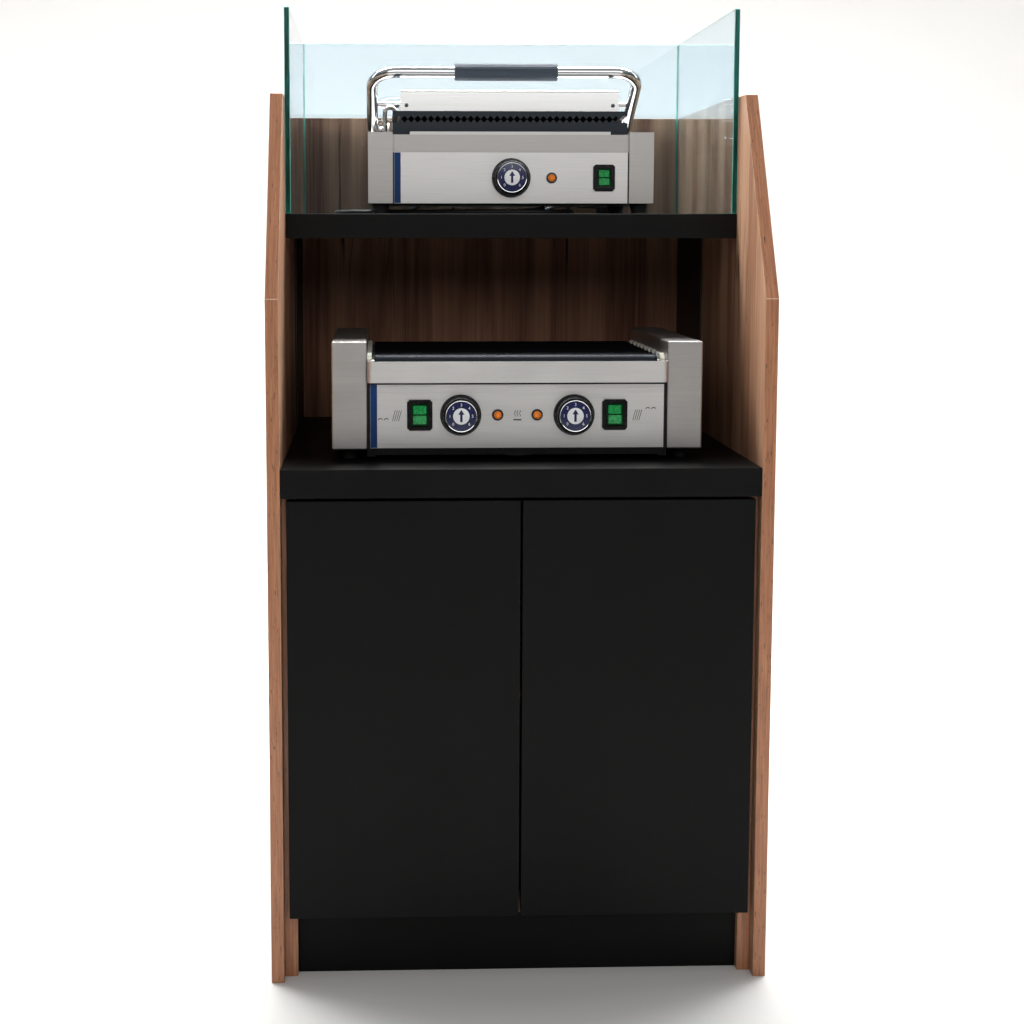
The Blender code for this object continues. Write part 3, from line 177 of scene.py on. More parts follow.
# Turned profiles in millimetres, as distance along the axis and radius
ARM_SCREW = [(0.0, 3.6), (0.5, 3.6), (1.1, 2.7), (1.3, 1.2), (0.7, 1.0), (0.7, 0.0)]
CUP_SCREW = [(0.0, 3.4), (0.10, 3.2), (0.16, 1.6), (0.02, 1.4), (0.02, 0.0)]
COVER_SCREW = [(-0.4, 3.0), (0.5, 3.0), (1.0, 2.4), (1.1, 1.2), (0.6, 1.0), (0.6, 0.0)]
PLUG_PIN = [(60.0, 2.4), (81.6, 2.4), (82.6, 1.9), (83.0, 1.0), (83.0, 0.0)]

# One rib of a foot: how far up the rib, and how far in, in millimetres
FOOT_RIB = ((0.02, 0.5), (0.15, 0.0), (0.7, 0.0), (0.82, 0.7), (0.98, 0.7))

# Where the lead runs, from the contact grill's front face, centre line and surface, in metres
CORD_ROUTE = [
    (-0.104, 0.3359, 0.0380), (-0.104, 0.347, 0.0380), (-0.104, 0.358, 0.0377), (-0.110, 0.372, 0.0325),
    (-0.126, 0.383, 0.0210), (-0.150, 0.387, 0.0095), (-0.180, 0.384, 0.0038), (-0.218, 0.372, 0.0038),
    (-0.247, 0.347, 0.0038), (-0.263, 0.311, 0.0038), (-0.267, 0.265, 0.0038), (-0.267, 0.205, 0.0038),
    (-0.266, 0.150, 0.0038), (-0.260, 0.108, 0.0038), (-0.240, 0.076, 0.0038), (-0.208, 0.061, 0.0038),
    (-0.170, 0.055, 0.0038), (-0.125, 0.045, 0.0038), (-0.080, 0.032, 0.0038), (-0.030, 0.024, 0.0038),
    (0.020, 0.022, 0.0038), (0.060, 0.028, 0.0038), (0.089, 0.046, 0.0038), (0.100, 0.073, 0.0038),
    (0.088, 0.099, 0.0038), (0.060, 0.113, 0.0038), (0.020, 0.115, 0.0038), (-0.030, 0.115, 0.0038),
    (-0.072, 0.113, 0.0038), (-0.095, 0.103, 0.0038), (-0.104, 0.083, 0.0038), (-0.095, 0.063, 0.0038),
    (-0.072, 0.053, 0.0038), (-0.030, 0.052, 0.0038), (0.008, 0.056, 0.0040), (0.037, 0.069, 0.0062),
    (0.053, 0.091, 0.0096), (0.059, 0.115, 0.0114), (0.0595, 0.138, 0.0096), (0.058, 0.162, 0.0062),
    (0.056, 0.190, 0.0038), (0.056, 0.225, 0.0038), (0.059, 0.262, 0.0038), (0.066, 0.297, 0.0042),
    (0.078, 0.325, 0.0085), (0.096, 0.339, 0.0150), (0.115, 0.342, 0.0190), (0.128, 0.342, 0.0193),
    (0.1417, 0.342, 0.0193),
]
PLUG_START = (0.142, 0.342, 0.0193)

# The controls: panel, dial joints, rocker joints, lamps, frame size and sheet of each grill
GRILLS = {
    "roller": {
        "panel": "roller_panel",
        "dials": {"left_roller_dial": "roller_knob_left", "right_roller_dial": "roller_knob_right"},
        "rockers": {
            "left_roller_rocker": "roller_switch_left",
            "right_roller_rocker": "roller_switch_right",
        },
        "lamps": ("roller_lamp_left", "roller_lamp_right"),
        "frame": ROLLER_FRAME,
        "sheet": ROLLER_PANEL_SHEET,
    },
    "contact": {
        "panel": "contact_panel",
        "dials": {"contact_dial": "contact_knob"},
        "rockers": {"contact_rocker": "contact_switch"},
        "lamps": ("contact_lamp",),
        "frame": CONTACT_FRAME,
        "sheet": CONTACT_PANEL_SHEET,
    },
}
# Room seen round the studio, from straight down to straight up: dim walls under a bright ceiling
ROOM_WALL = [(0.40, "#959595"), (0.56, "#818181"), (0.68, "#f3f3f3"), (1.0, "#ffffff")]
ROLLER_BODIES = ("first", "second", "third", "fourth", "fifth", "sixth", "seventh", "eighth", "ninth")


def linear(hex_colour):
    """Turn an sRGB hex value into linear red, green and blue."""
    channels = [int(hex_colour[k:k + 2], 16) / 255 for k in (1, 3, 5)]
    return tuple(c / 12.92 if c <= 0.04045 else ((c + 0.055) / 1.055) ** 2.4 for c in channels)


def colour_setting(name, description, hex_colour):
    """A colour that a user would change."""
    return FloatVectorProperty(name=name, description=description, subtype="COLOR", size=3,
                               min=0.0, max=1.0, default=linear(hex_colour))


def length_setting(name, description, metres):
    """A length that a user would change."""
    return FloatProperty(name=name, description=description, unit="LENGTH", min=0.0, default=metres)


class CounterColours(bpy.types.PropertyGroup):
    """Colours of the boards, coatings, plastics and prints."""
    oak_light: colour_setting("Oak light", "Light streaks of the printed oak", "#c39a7c")
    oak_dark: colour_setting("Oak dark", "Dark streaks of the printed oak", "#845840")
    # The back board's oak is a darker, redder copy of the side oak: painted shade for the niche under the
    # shelf
    heart_light: colour_setting("Back oak, shaded light", "Light streaks of the back board's print, darkened as painted shade", "#bb896b")
    heart_dark: colour_setting("Back oak, shaded dark", "Dark streaks of the back board's print, darkened as painted shade", "#70422e")
    oak_crack: colour_setting("Oak crack", "Pores and cracks of the printed oak", "#1c0f0a")
    edge_light: colour_setting("Edge band light", "Light streaks of the edge banding", "#b67d59")
    edge_dark: colour_setting("Edge band dark", "Dark streaks of the edge banding", "#8f5c3f")
    board_black: colour_setting("Black board", "Face of the black boards", "#0a0a0a")
    steel: colour_setting("Panel steel", "Fine-brushed sheet of the panels", "#dad8d6")
    housing: colour_setting("Housing steel", "Coarse-brushed sheet of the housings", "#b6b3b0")
    glass: colour_setting("Glass", "Body of the panes", "#d2e4ed")
    glass_edge: colour_setting("Glass edge", "Ground edge of the panes", "#0a6158")
    rollers: colour_setting("Roller coating", "Non-stick coating of the rollers", "#0a0b0e")
    plates: colour_setting("Grill plates", "Enamel of the ribbed plates", "#0e1014")
    dial_disc: colour_setting("Dial disc", "Disc in the face of a dial", "#161d4e")
    stripe: colour_setting("Panel stripe", "Stripe at the left of a control panel", "#00346c")
    amber: colour_setting("Signal lamp", "Lens of a signal lamp", "#ea7a0c")
    green: colour_setting("Rocker switch", "Lens of a rocker switch", "#0f9a4a")


class CounterSizes(bpy.types.PropertyGroup):
    """Sizes of the fittings that are laid over the solids."""
    stripe_width: length_setting("Stripe width", "Stripe at the left of a control panel", 9.5 * MM)
    frame_cover: length_setting("Switch frame cover", "How far a frame reaches past its solid", 0.9 * MM)
    frame_round: length_setting("Switch frame corner", "Corner radius of a switch frame", 4.6 * MM)
    board_arris: length_setting("Board arris", "Rounding of the boards' edges", 0.8 * MM)
    dial_marks: IntProperty(name="Dial marks", description="Numbered steps on a dial",
                            min=2, max=9, default=6)
    grip_flutes: IntProperty(name="Grip flutes", description="Flutes round the handle grip",
                             min=8, default=26)
    foot_ribs: IntProperty(name="Foot ribs", description="Ribs round a rubber foot", min=1, default=4)
    conduit_pitch: length_setting("Conduit pitch", "Turns of the wound conduit", 3.0 * MM)


class CounterStudio(bpy.types.PropertyGroup):
    """Camera, lights and floor."""
    camera_x: FloatProperty(name="Camera side", description="Sideways place of the camera",
                            unit="LENGTH", default=-0.1946)
    camera_distance: length_setting("Camera distance", "From the camera to the counter's front", 2.2726)
    camera_height: length_setting("Camera height", "Height of the camera", 1.05)
    camera_pitch: FloatProperty(name="Camera pitch", description="Downward tilt of the camera",
                                subtype="ANGLE", default=math.radians(5.97))
    camera_yaw: FloatProperty(name="Camera yaw", description="Turn of the camera to the right",
                              subtype="ANGLE", default=math.radians(1.90))
    lens: FloatProperty(name="Lens", description="Focal length on a 36 mm sensor, in mm",
                        min=10.0, default=58.95)
    shift_x: FloatProperty(name="Shift sideways", description="Sideways shift of the frame", default=0.0748)
    shift_y: FloatProperty(name="Shift upward", description="Upward shift of the frame", default=-0.10)
    overhead: FloatProperty(name="Overhead light", description="Softbox over the counter, in watts",
                            default=345.0)
    key: FloatProperty(name="Front light", description="Wide softbox at the front, in watts", default=41.0)
    fill: FloatProperty(name="Backdrop light", description="Each of two lamps on the backdrop, in watts",
                        default=28.0)
    surround: FloatProperty(name="Surround", description="Strength of the even room light", default=0.34)
    floor: colour_setting("Floor", "Paper of the floor and backdrop", "#dcdbd9")


# Small tools

def colours():
    """The colour settings of this scene."""
    return bpy.context.scene.counter_colours


def sizes():
    """The size settings of this scene."""
    return bpy.context.scene.counter_sizes


def joint_place(child):
    """Where the joint that carries a body sits."""
    for joint in frame["joints"]:
        if joint["child"] == child:
            return Vector(joint["pos_m"])
    raise RuntimeError("no joint carries " + child)


def box_of(node):
    """Lowest and highest corner of a solid."""
    return [Vector(corner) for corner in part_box(node)]


def middle(node):
    """Centre of a solid's box."""
    low, high = box_of(node)
    return (low + high) / 2


def contact_origin():
    """Front, centre line and surface of the contact grill, which its sizes are taken from."""
    low = box_of("contact_base")[0]
    return Vector((middle("contact_base").x, low.y, low.z))


def in_mm(points):
    """Pairs of millimetres as pairs of metres."""
    return [(first * MM, second * MM) for first, second in points]


def add_node(tree, kind, inputs=None, stops=None, **settings):
    """Add a shader node; an input is a plain value or another node's socket to link."""
    node = tree.nodes.new(kind)
    for name, value in settings.items():
        setattr(node, name, value)
    for socket, value in (inputs or {}).items():
        if isinstance(value, bpy.types.NodeSocket):
            tree.links.new(value, node.inputs[socket])
        else:
            node.inputs[socket].default_value = value
    for k, (position, colour) in enumerate(stops or ()):
        ramp = node.color_ramp.elements
        stop = ramp[k] if k < 2 else ramp.new(position)
        stop.position = position
        stop.color = (*colour, 1.0)
    return node


def start_finish(name, colour=None, roughness=0.5, **sockets):
    """A material with its shader's own sockets set, as the material, its tree and its shader."""
    material = bpy.data.materials.new(name)
    material.use_nodes = True
    tree = material.node_tree
    shader = tree.nodes["Principled BSDF"]
    if colour is not None:
        shader.inputs["Base Color"].default_value = (*colour, 1.0)
    shader.inputs["Roughness"].default_value = roughness
    for socket, value in sockets.items():
        shader.inputs[socket.replace("_", " ")].default_value = value
    return material, tree, shader


def pattern(tree, spacing, low=0.3, high=0.7, detail=3.0, grain=0.55, distortion=0.0):
    """Soft streaks, spaced in mm along X, Y and Z, spread from 0 to 1 between two of their levels."""
    place = add_node(tree, "ShaderNodeTexCoord")
    scale = tuple(1.0 / (size * MM) for size in spacing)
    stretched = add_node(tree, "ShaderNodeMapping", {"Vector": place.outputs["Object"], "Scale": scale})
    streaks = add_node(tree, "ShaderNodeTexNoise", {
        "Vector": stretched.outputs["Vector"], "Scale": 1.0, "Detail": detail,
        "Roughness": grain, "Distortion": distortion})
    spread = add_node(tree, "ShaderNodeMapRange", {
        "Value": streaks.outputs["Fac"], "From Min": low, "From Max": high})
    return spread.outputs["Result"]


def facing(tree, axis, low, high):
    """How squarely a face looks along an axis, spread from 0 to 1 between two levels."""
    place = add_node(tree, "ShaderNodeNewGeometry")
    parts = add_node(tree, "ShaderNodeSeparateXYZ", {"Vector": place.outputs["Normal"]})
    square = add_node(tree, "ShaderNodeMath", {0: parts.outputs[axis]}, operation="ABSOLUTE")
    spread = add_node(tree, "ShaderNodeMapRange", {
        "Value": square.outputs[0], "From Min": low, "From Max": high})
    return spread.outputs["Result"]


def apart(tree, value, level):
    """How far a value is from a level, either way."""
    above = add_node(tree, "ShaderNodeMath", {0: value, 1: level}, operation="SUBTRACT")
    return add_node(tree, "ShaderNodeMath", {0: above.outputs[0]}, operation="ABSOLUTE").outputs[0]


def roughen(tree, shader, streaks, gloss=None, relief=0.0):
    """Run a pattern between two roughnesses and through a relief in mm."""
    if gloss is not None:
        shine = add_node(tree, "ShaderNodeMapRange", {
            "Value": streaks, "To Min": gloss[0], "To Max": gloss[1]})
        tree.links.new(shine.outputs["Result"], shader.inputs["Roughness"])
    if relief:
        raised = add_node(tree, "ShaderNodeBump", {
            "Height": streaks, "Strength": 1.0, "Distance": relief * MM})
        tree.links.new(raised.outputs["Normal"], shader.inputs["Normal"])


def patterned(name, spacing, tones=None, gloss=None, relief=0.0, levels=(0.3, 0.7), detail=3.0, grain=0.55,
              distortion=0.0, glow=0.0, **sockets):
    """A finish whose one pattern runs between two tones and two roughnesses and through a relief in mm."""
    material, tree, shader = start_finish(name, **sockets)
    streaks = pattern(tree, spacing, *levels, detail, grain, distortion)
    if tones is not None:
        tone = add_node(tree, "ShaderNodeMix", {
            0: streaks, 6: (*tones[0], 1.0), 7: (*tones[1], 1.0)}, data_type="RGBA")
        tree.links.new(tone.outputs[2], shader.inputs["Base Color"])
        if glow:
            tree.links.new(tone.outputs[2], shader.inputs["Emission Color"])
            shader.inputs["Emission Strength"].default_value = glow
    roughen(tree, shader, streaks, gloss, relief)
    return material


# Finishes

def oak_melamine(name, face_axis, grain_axis, light, dark, sheen=0.5, joint_height=None):
    """Chipboard faced with oak-print melamine, satin and pale, its edges banded in a redder print."""
    material, tree, shader = start_finish(name, Specular_IOR_Level=sheen)
    tone = colours()

    def along(across, length):
        return [length if axis == grain_axis else across for axis in "XYZ"]

    def banded(across, length):
        return [across if axis == face_axis else length for axis in "XYZ"]

    # Broad heartwood figure about 45 mm across over fine fibre about 4 mm across
    figure = pattern(tree, along(45.0, 700.0), 0.35, 0.66, 2.0, distortion=0.6)
    fibre = pattern(tree, along(4.0, 220.0), 0.28, 0.72, 4.0)
    mingled = add_node(tree, "ShaderNodeMath", {0: figure, 1: 1.8, 2: fibre}, operation="MULTIPLY_ADD")
    shade = add_node(tree, "ShaderNodeMapRange", {
        "Value": mingled.outputs[0], "From Min": 0.3, "From Max": 2.5})
    plain = add_node(tree, "ShaderNodeMix", {
        0: shade.outputs["Result"], 6: (*light, 1.0), 7: (*dark, 1.0)}, data_type="RGBA")
    # Drying cracks of the rustic print, thin and up to 300 mm long
    split = pattern(tree, along(44.0, 700.0), 0.0, 1.0, 2.5, 0.5, 0.35)
    line = add_node(tree, "ShaderNodeMapRange", {
        "Value": apart(tree, split, 0.5), "From Min": 0.010, "From Max": 0.003})
    rare = pattern(tree, along(60.0, 240.0), 0.54, 0.62, 1.0)
    crack = add_node(tree, "ShaderNodeMath", {0: line.outputs["Result"], 1: rare}, operation="MULTIPLY")
    face = add_node(tree, "ShaderNodeMix", {
        0: crack.outputs[0], 6: plain.outputs[2], 7: (*tone.oak_crack, 1.0)}, data_type="RGBA")
    # Edge banding carries short dark pores about 1.5 mm wide and 14 mm long
    band_fibre = pattern(tree, banded(2.2, 60.0), detail=4.0)
    band = add_node(tree, "ShaderNodeMix", {
        0: band_fibre, 6: (*tone.edge_light, 1.0), 7: (*tone.edge_dark, 1.0)}, data_type="RGBA")
    pores = pattern(tree, banded(1.5, 14.0), 0.64, 0.74, 2.0)
    edge = add_node(tree, "ShaderNodeMix", {
        0: pores, 6: band.outputs[2], 7: (*tone.oak_crack, 1.0)}, data_type="RGBA").outputs[2]
    if joint_height is not None:
        # Pale seam about 1 mm wide where two lengths of banding meet
        place = add_node(tree, "ShaderNodeTexCoord")
        parts = add_node(tree, "ShaderNodeSeparateXYZ", {"Vector": place.outputs["Object"]})
        seam = add_node(tree, "ShaderNodeMapRange", {
            "Value": apart(tree, parts.outputs["Z"], joint_height),
            "From Min": 0.9 * MM, "From Max": 0.4 * MM, "To Max": 0.7})
        edge = add_node(tree, "ShaderNodeMix", {
            0: seam.outputs["Result"], 6: edge, 7: (*linear("#dcbfa8"), 1.0)}, data_type="RGBA").outputs[2]
    colour = add_node(tree, "ShaderNodeMix", {
        0: facing(tree, face_axis, 0.45, 0.55), 6: edge, 7: face.outputs[2]}, data_type="RGBA")
    tree.links.new(colour.outputs[2], shader.inputs["Base Color"])
    roughen(tree, shader, fibre, (0.32, 0.46), 0.04)
    return material


@functools.cache
def black_melamine():
    """Chipboard faced with black melamine, pressed to a fine satin pearl that greys its highlights."""
    base = Vector(colours().board_black)
    material, tree, shader = start_finish("melamine_board_black_satin", Specular_IOR_Level=0.12)
    # Pressed pearl of about 1.4 mm, and faint handling marks about 120 mm across
    pearl = pattern(tree, (1.4, 1.4, 1.4), detail=2.0)
    marks = pattern(tree, (120.0, 120.0, 180.0), 0.35, 0.7)
    colour = add_node(tree, "ShaderNodeMix", {
        0: marks, 6: (*(base * 0.88), 1.0), 7: (*(base * 1.15), 1.0)}, data_type="RGBA")
    tree.links.new(colour.outputs[2], shader.inputs["Base Color"])
    roughen(tree, shader, marks, gloss=(0.44, 0.56))
    roughen(tree, shader, pearl, relief=0.008)
    return material


@functools.cache
def black_powder_coat():
    """Steel sheet with baked black powder, a fine orange peel under a soft shine."""
    tones = (linear("#0f0f10"), linear("#151516"))
    return patterned("sheet_steel_black_powder_coat", (2.0, 2.0, 2.0), tones, (0.42, 0.5), 0.016,
                     detail=2.0)


@functools.cache
def float_glass():
    """Clear float glass with a pale blue body and thin smears of wiping, which lamps shine through."""
    material = patterned("float_glass_clear", (90.0, 90.0, 240.0), gloss=(0.0, 0.02), grain=0.6,
                         distortion=0.8, colour=colours().glass, IOR=GLASS_IOR, Transmission_Weight=1.0)
    tree = material.node_tree
    rays = add_node(tree, "ShaderNodeLightPath")
    clear = add_node(tree, "ShaderNodeBsdfTransparent", {"Color": (*linear("#f6fafb"), 1.0)})
    passed = add_node(tree, "ShaderNodeMixShader", {
        0: rays.outputs["Is Shadow Ray"], 1: tree.nodes["Principled BSDF"].outputs["BSDF"],
        2: clear.outputs["BSDF"]})
    tree.links.new(passed.outputs["Shader"], tree.nodes["Material Output"].inputs["Surface"])
    return material


@functools.cache
def ground_glass_edge():
    """Ground and polished edge of float glass, deep teal, with brighter lengths painted on as light led out
    through it.
    """
    base = Vector(colours().glass_edge)
    # Painted highlight: the brighter tone stands for light led out of the glass; the deep teal is its own
    # colour
    tones = (base * 0.3, base * 1.5)
    return patterned("float_glass_ground_edge", (6.0, 6.0, 60.0), tones, (0.16, 0.26), 0.02,
                     levels=(0.42, 0.72), detail=4.0, grain=0.6, IOR=GLASS_IOR, Specular_IOR_Level=0.2)


@functools.cache
def bright_glass_arris():
    """Polished corner of the glass edge, with a pale teal line painted on as its highlight."""
    # Painted highlight: pale teal tones stand for light caught on the arris
    tones = (linear("#238a7c"), linear("#7dd2c5"))
    return patterned("float_glass_arris_painted_highlight", (8.0, 8.0, 60.0), tones, (0.08, 0.14), detail=2.0,
                     IOR=GLASS_IOR)


def brushed_stainless(name, tone):
    """Stainless sheet brushed along its length, whose fine lines spread highlights into soft bands."""
    base = Vector(tone)
    material, tree, shader = start_finish(name, Metallic=1.0)
    # Real brush lines are near 0.1 mm; they are drawn 0.7 mm apart to show in the render
    upright = pattern(tree, (70.0, 70.0, 0.7))
    level = pattern(tree, (70.0, 0.7, 70.0))
    lying = facing(tree, "Z", 0.6, 0.8)
    lines = add_node(tree, "ShaderNodeMix", {0: lying, 2: upright, 3: level}).outputs[0]
    cloud = pattern(tree, (90.0, 90.0, 60.0), detail=2.0)
    colour = add_node(tree, "ShaderNodeMix", {
        0: lines, 6: (*(base * 0.93), 1.0), 7: (*(base * 1.04), 1.0)}, data_type="RGBA")
    tree.links.new(colour.outputs[2], shader.inputs["Base Color"])
    mingled = add_node(tree, "ShaderNodeMix", {0: 0.5, 2: lines, 3: cloud})
    roughen(tree, shader, mingled.outputs[0], gloss=(0.34, 0.48))
    roughen(tree, shader, lines, relief=0.006)
    return material


@functools.cache
def panel_steel():
    """Fine brush of the control panels and the guard, pale and even."""
    return brushed_stainless("stainless_steel_fine_brushed", colours().steel)


@functools.cache
def housing_steel():
    """Coarser brush of the housings, which holds less light than the panels."""
    return brushed_stainless("stainless_steel_coarse_brushed", colours().housing)


@functools.cache
def galvanised_sheet():
    """Galvanised sheet inside the roller grill, dull and painted dark as the shade inside the grill."""
    # Painted shade: near-black tones make the chassis read as a dark gap under the panel
    tones = (linear("#191817"), linear("#2b2a29"))
    return patterned("sheet_steel_galvanised_painted_shade", (14.0, 14.0, 14.0), tones, (0.5, 0.6), grain=0.6,
                     Metallic=0.8)


@functools.cache
def black_enamel():
    """Drip tray sheet painted black for the shade under the panel, slightly wavy under its gloss."""
    # Painted shade: near-black tones stand in for the shade that hides the tray under the panel
    tones = (linear("#0a0a0b"), linear("#101011"))
    return patterned("sheet_steel_black_painted_shade", (20.0, 20.0, 20.0), tones, (0.28, 0.34), 0.04, detail=2.0,
                     Specular_IOR_Level=0.3)


@functools.cache
def polished_stainless():
    """Polished stainless cover, brighter than the brushed sheet, with a trace of rolling lines."""
    tones = (linear("#f0efed"), linear("#f8f8f7"))
    return patterned("stainless_steel_polished", (160.0, 3.0, 3.0), tones, (0.18, 0.24), detail=2.0,
                     Metallic=1.0)


@functools.cache
def chromed_tube():
    """Chromed steel tube, polished to a mirror with a slight waviness."""
    return patterned("steel_tube_chromed", (40.0, 40.0, 40.0), gloss=(0.04, 0.11), relief=0.02, detail=2.0,
                     colour=linear("#dfe0e1"), Metallic=1.0)


@functools.cache
def nickel_plated_steel():
    """Stamped steel with nickel plate, satin with faint tumbling marks."""
    tones = (linear("#a9a6a0"), linear("#c6c3bc"))
    return patterned("stamped_steel_nickel_plated", (3.0, 3.0, 3.0), tones, (0.22, 0.4), detail=4.0,
                     grain=0.7, Metallic=1.0)


@functools.cache
def non_stick_coating():
    """Steel tube with sprayed black non-stick, smooth with broad bluish highlights."""
    base = Vector(colours().rollers)
    tones = (base * 0.85, base * 1.3)
    return patterned("steel_tube_non_stick_coated", (1.6, 1.6, 1.6), tones, (0.38, 0.46), 0.002, detail=2.0,
                     Specular_IOR_Level=0.27, Specular_Tint=(*linear("#daecff"), 1.0))


@functools.cache
def white_acetal():
    """Moulded white acetal, waxy and slightly yellowed by heat."""
    tones = (linear("#e3e1d8"), linear("#c8c3b2"))
    return patterned("acetal_white_moulded", (12.0, 18.0, 9.0), tones, (0.38, 0.46), Subsurface_Weight=0.1)


@functools.cache
def black_phenolic():
    """Moulded black phenolic, glossy with a faint flow pattern."""
    tones = (linear("#08080a"), linear("#101013"))
    return patterned("phenolic_black_moulded", (7.0, 7.0, 7.0), tones, (0.2, 0.3), grain=0.6,
                     distortion=0.5, Specular_IOR_Level=0.3)


@functools.cache
def dark_chrome():
    """Smoked chrome on moulded plastic, a dim mirror."""
    return patterned("plastic_smoked_chrome", (5.0, 5.0, 5.0), gloss=(0.14, 0.28), detail=2.0,
                     colour=linear("#5a5c60"), Metallic=1.0)


@functools.cache
def blue_acrylic():
    """Dark blue acrylic disc, printed from behind, even and deep under a clear face."""
    base = Vector(colours().dial_disc)
    tones = (base * 0.9, base * 1.1)
    return patterned("acrylic_dark_blue_printed", (1.2, 1.2, 1.2), tones, (0.22, 0.3), detail=2.0,
                     Coat_Weight=0.4, Coat_Roughness=0.06)


@functools.cache
def white_ink():
    """White screen-printed numerals, matt with the slightly uneven body of a pulled print."""
    tones = (linear("#e4e5e8"), linear("#f0f1f4"))
    return patterned("ink_white_screen_printed", (0.9, 0.9, 0.9), tones, (0.45, 0.55), detail=2.0)


@functools.cache
def grey_ink():
    """Grey screen-printed pictograms, matt with the slightly uneven body of a pulled print."""
    tones = (linear("#3c3c3e"), linear("#464648"))
    return patterned("ink_grey_screen_printed", (0.9, 0.9, 0.9), tones, (0.45, 0.55), detail=2.0)


@functools.cache
def blue_vinyl():
    """Cut blue vinyl film, smooth with a faint emboss from the steel under it."""
    base = Vector(colours().stripe)
    tones = (base * 0.9, base * 1.08)
    return patterned("vinyl_film_blue_cut", (50.0, 50.0, 1.0), tones, (0.45, 0.55), 0.004,
                     detail=2.0, Specular_IOR_Level=0.25)


@functools.cache
def amber_lens():
    """Amber polycarbonate of a signal lamp, brighter where its ribs gather the light behind."""
    base = Vector(colours().amber)
    tones = (base * 0.55, base * 1.15)
    return patterned("polycarbonate_amber_moulded", (2.4, 2.4, 5.0), tones, (0.16, 0.22),
                     detail=2.0, glow=0.2, IOR=POLYCARBONATE_IOR)


@functools.cache
def green_lens():
    """Green polycarbonate of a rocker, dark at its thick rim."""
    base = Vector(colours().green)
    tones = (base * 0.05, base * 0.14)
    return patterned("polycarbonate_green_moulded", (2.4, 2.4, 5.0), tones, (0.3, 0.4),
                     detail=2.0, glow=0.01, IOR=POLYCARBONATE_IOR, Specular_IOR_Level=0.05)


@functools.cache
def bright_green_lens():
    """Thin window of a rocker, where the lamp behind shows through its ribs."""
    base = Vector(colours().green)
    tones = (base * 0.4, base * 1.2)
    return patterned("polycarbonate_green_window", (3.2, 3.2, 3.6), tones, (0.3, 0.4),
                     detail=2.0, glow=0.12, IOR=POLYCARBONATE_IOR, Specular_IOR_Level=0.25)


@functools.cache
def enamelled_iron():
    """Cast iron with black enamel, a soft bluish shine over the sandy skin of the casting."""
    base = Vector(colours().plates)
    tones = (base * 0.8, base * 1.35)
    return patterned("cast_iron_black_enamel", (1.1, 1.1, 1.1), tones, (0.36, 0.52), 0.03,
                     detail=4.0, grain=0.65, Specular_Tint=(*linear("#e4f1ff"), 1.0))


@functools.cache
def wound_steel():
    """Galvanised steel strip, wound into conduit and dulled by heat."""
    tones = (linear("#8f8d89"), linear("#b4b2ad"))
    return patterned("steel_strip_galvanised_wound", (4.0, 4.0, 4.0), tones, (0.32, 0.4), Metallic=1.0)


@functools.cache
def moulded_rubber():
    """Moulded black rubber, matt with a fine bloom."""
    tones = (linear("#0e0e10"), linear("#19191b"))
    return patterned("rubber_black_moulded", (1.8, 1.8, 1.8), tones, (0.5, 0.66), 0.012,
                     Specular_IOR_Level=0.4)


@functools.cache
def slate_rubber():
    """Moulded slate-blue rubber of the handle's sleeve, matt so that its flutes show as soft lines."""
    tones = (linear("#2b343f"), linear("#36404d"))
    return patterned("rubber_slate_moulded", (1.8, 1.8, 1.8), tones, (0.5, 0.62), 0.012,
                     Specular_IOR_Level=0.4)


@functools.cache
def studio_paper():
    """Pale matt studio paper."""
    base = Vector(bpy.context.scene.counter_studio.floor)
    return patterned("studio_paper_pale", (300.0, 300.0, 300.0), (base * 0.99, base), (0.76, 0.84),
                     detail=2.0, Specular_IOR_Level=0.2)


# Shapes

def finish_piece(name, mesh, finishes, body, hides=()):
    """Make an object of a mesh, let it ride on a body and hide the solids it stands for."""
    bmesh.ops.recalc_face_normals(mesh, faces=mesh.faces)
    data = bpy.data.meshes.new(name)
    mesh.to_mesh(data)
    mesh.free()
    for finish in finishes:
        data.materials.append(finish)
    data.shade_smooth()
    data.set_sharp_from_angle(angle=SHARP_ANGLE)
    item = bpy.data.objects.new(name, data)
    bpy.context.scene.collection.objects.link(item)
    if body is not None:
        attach(item, body)
    if hides:
        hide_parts(*hides)
    return item


def dress(finish, *names):
    """Give solids of the frame a finish."""
    for name in names:
        solid = frame["nodes"][name]
        if not solid.material_slots:
            raise RuntimeError(name + " has no material slot")
        for slot in solid.material_slots:
            slot.material = finish


def add_turned(mesh, profile, place, axis, sides=ROUND_SIDES, ring=False, finish=0):
    """Turn a profile of (distance along the axis, radius); a ring's profile closes on itself."""
    turn = Z_AXIS.rotation_difference(axis).to_matrix()
    place = Vector(place)
    loops = []
    for along, radius in profile:
        if radius <= 0.0:
            loops.append([mesh.verts.new(place + axis * along)])
            continue
        loop = []
        for k in range(sides):
            angle = 2 * math.pi * k / sides
            spot = Vector((radius * math.cos(angle), radius * math.sin(angle), along))
            loop.append(mesh.verts.new(place + turn @ spot))
        loops.append(loop)
    faces = []
    pairs = list(zip(loops, loops[1:]))
    if ring:
        pairs.append((loops[-1], loops[0]))
    for first, second in pairs:
        for k in range(sides):
            corners = [first[k % len(first)], first[(k + 1) % len(first)]]
            corners += [second[(k + 1) % len(second)], second[k % len(second)]]
            faces.append(mesh.faces.new(list(dict.fromkeys(corners))))
    if not ring:
        for loop in (loops[0], loops[-1]):
            if len(loop) > 2:
                faces.append(mesh.faces.new(loop))
    for face in faces:
        face.material_index = finish


def bridge(mesh, loops, ring=False):
    """Join loops of matching points by faces, and close both ends unless the last joins the first."""
    faces = []
    for first, second in zip(loops, loops[1:] + loops[:1] if ring else loops[1:]):
        for k in range(len(first)):
            other = (k + 1) % len(first)
            faces.append(mesh.faces.new([first[k], first[other], second[other], second[k]]))
    if not ring:
        faces += [mesh.faces.new(loops[0]), mesh.faces.new(loops[-1])]
    return faces


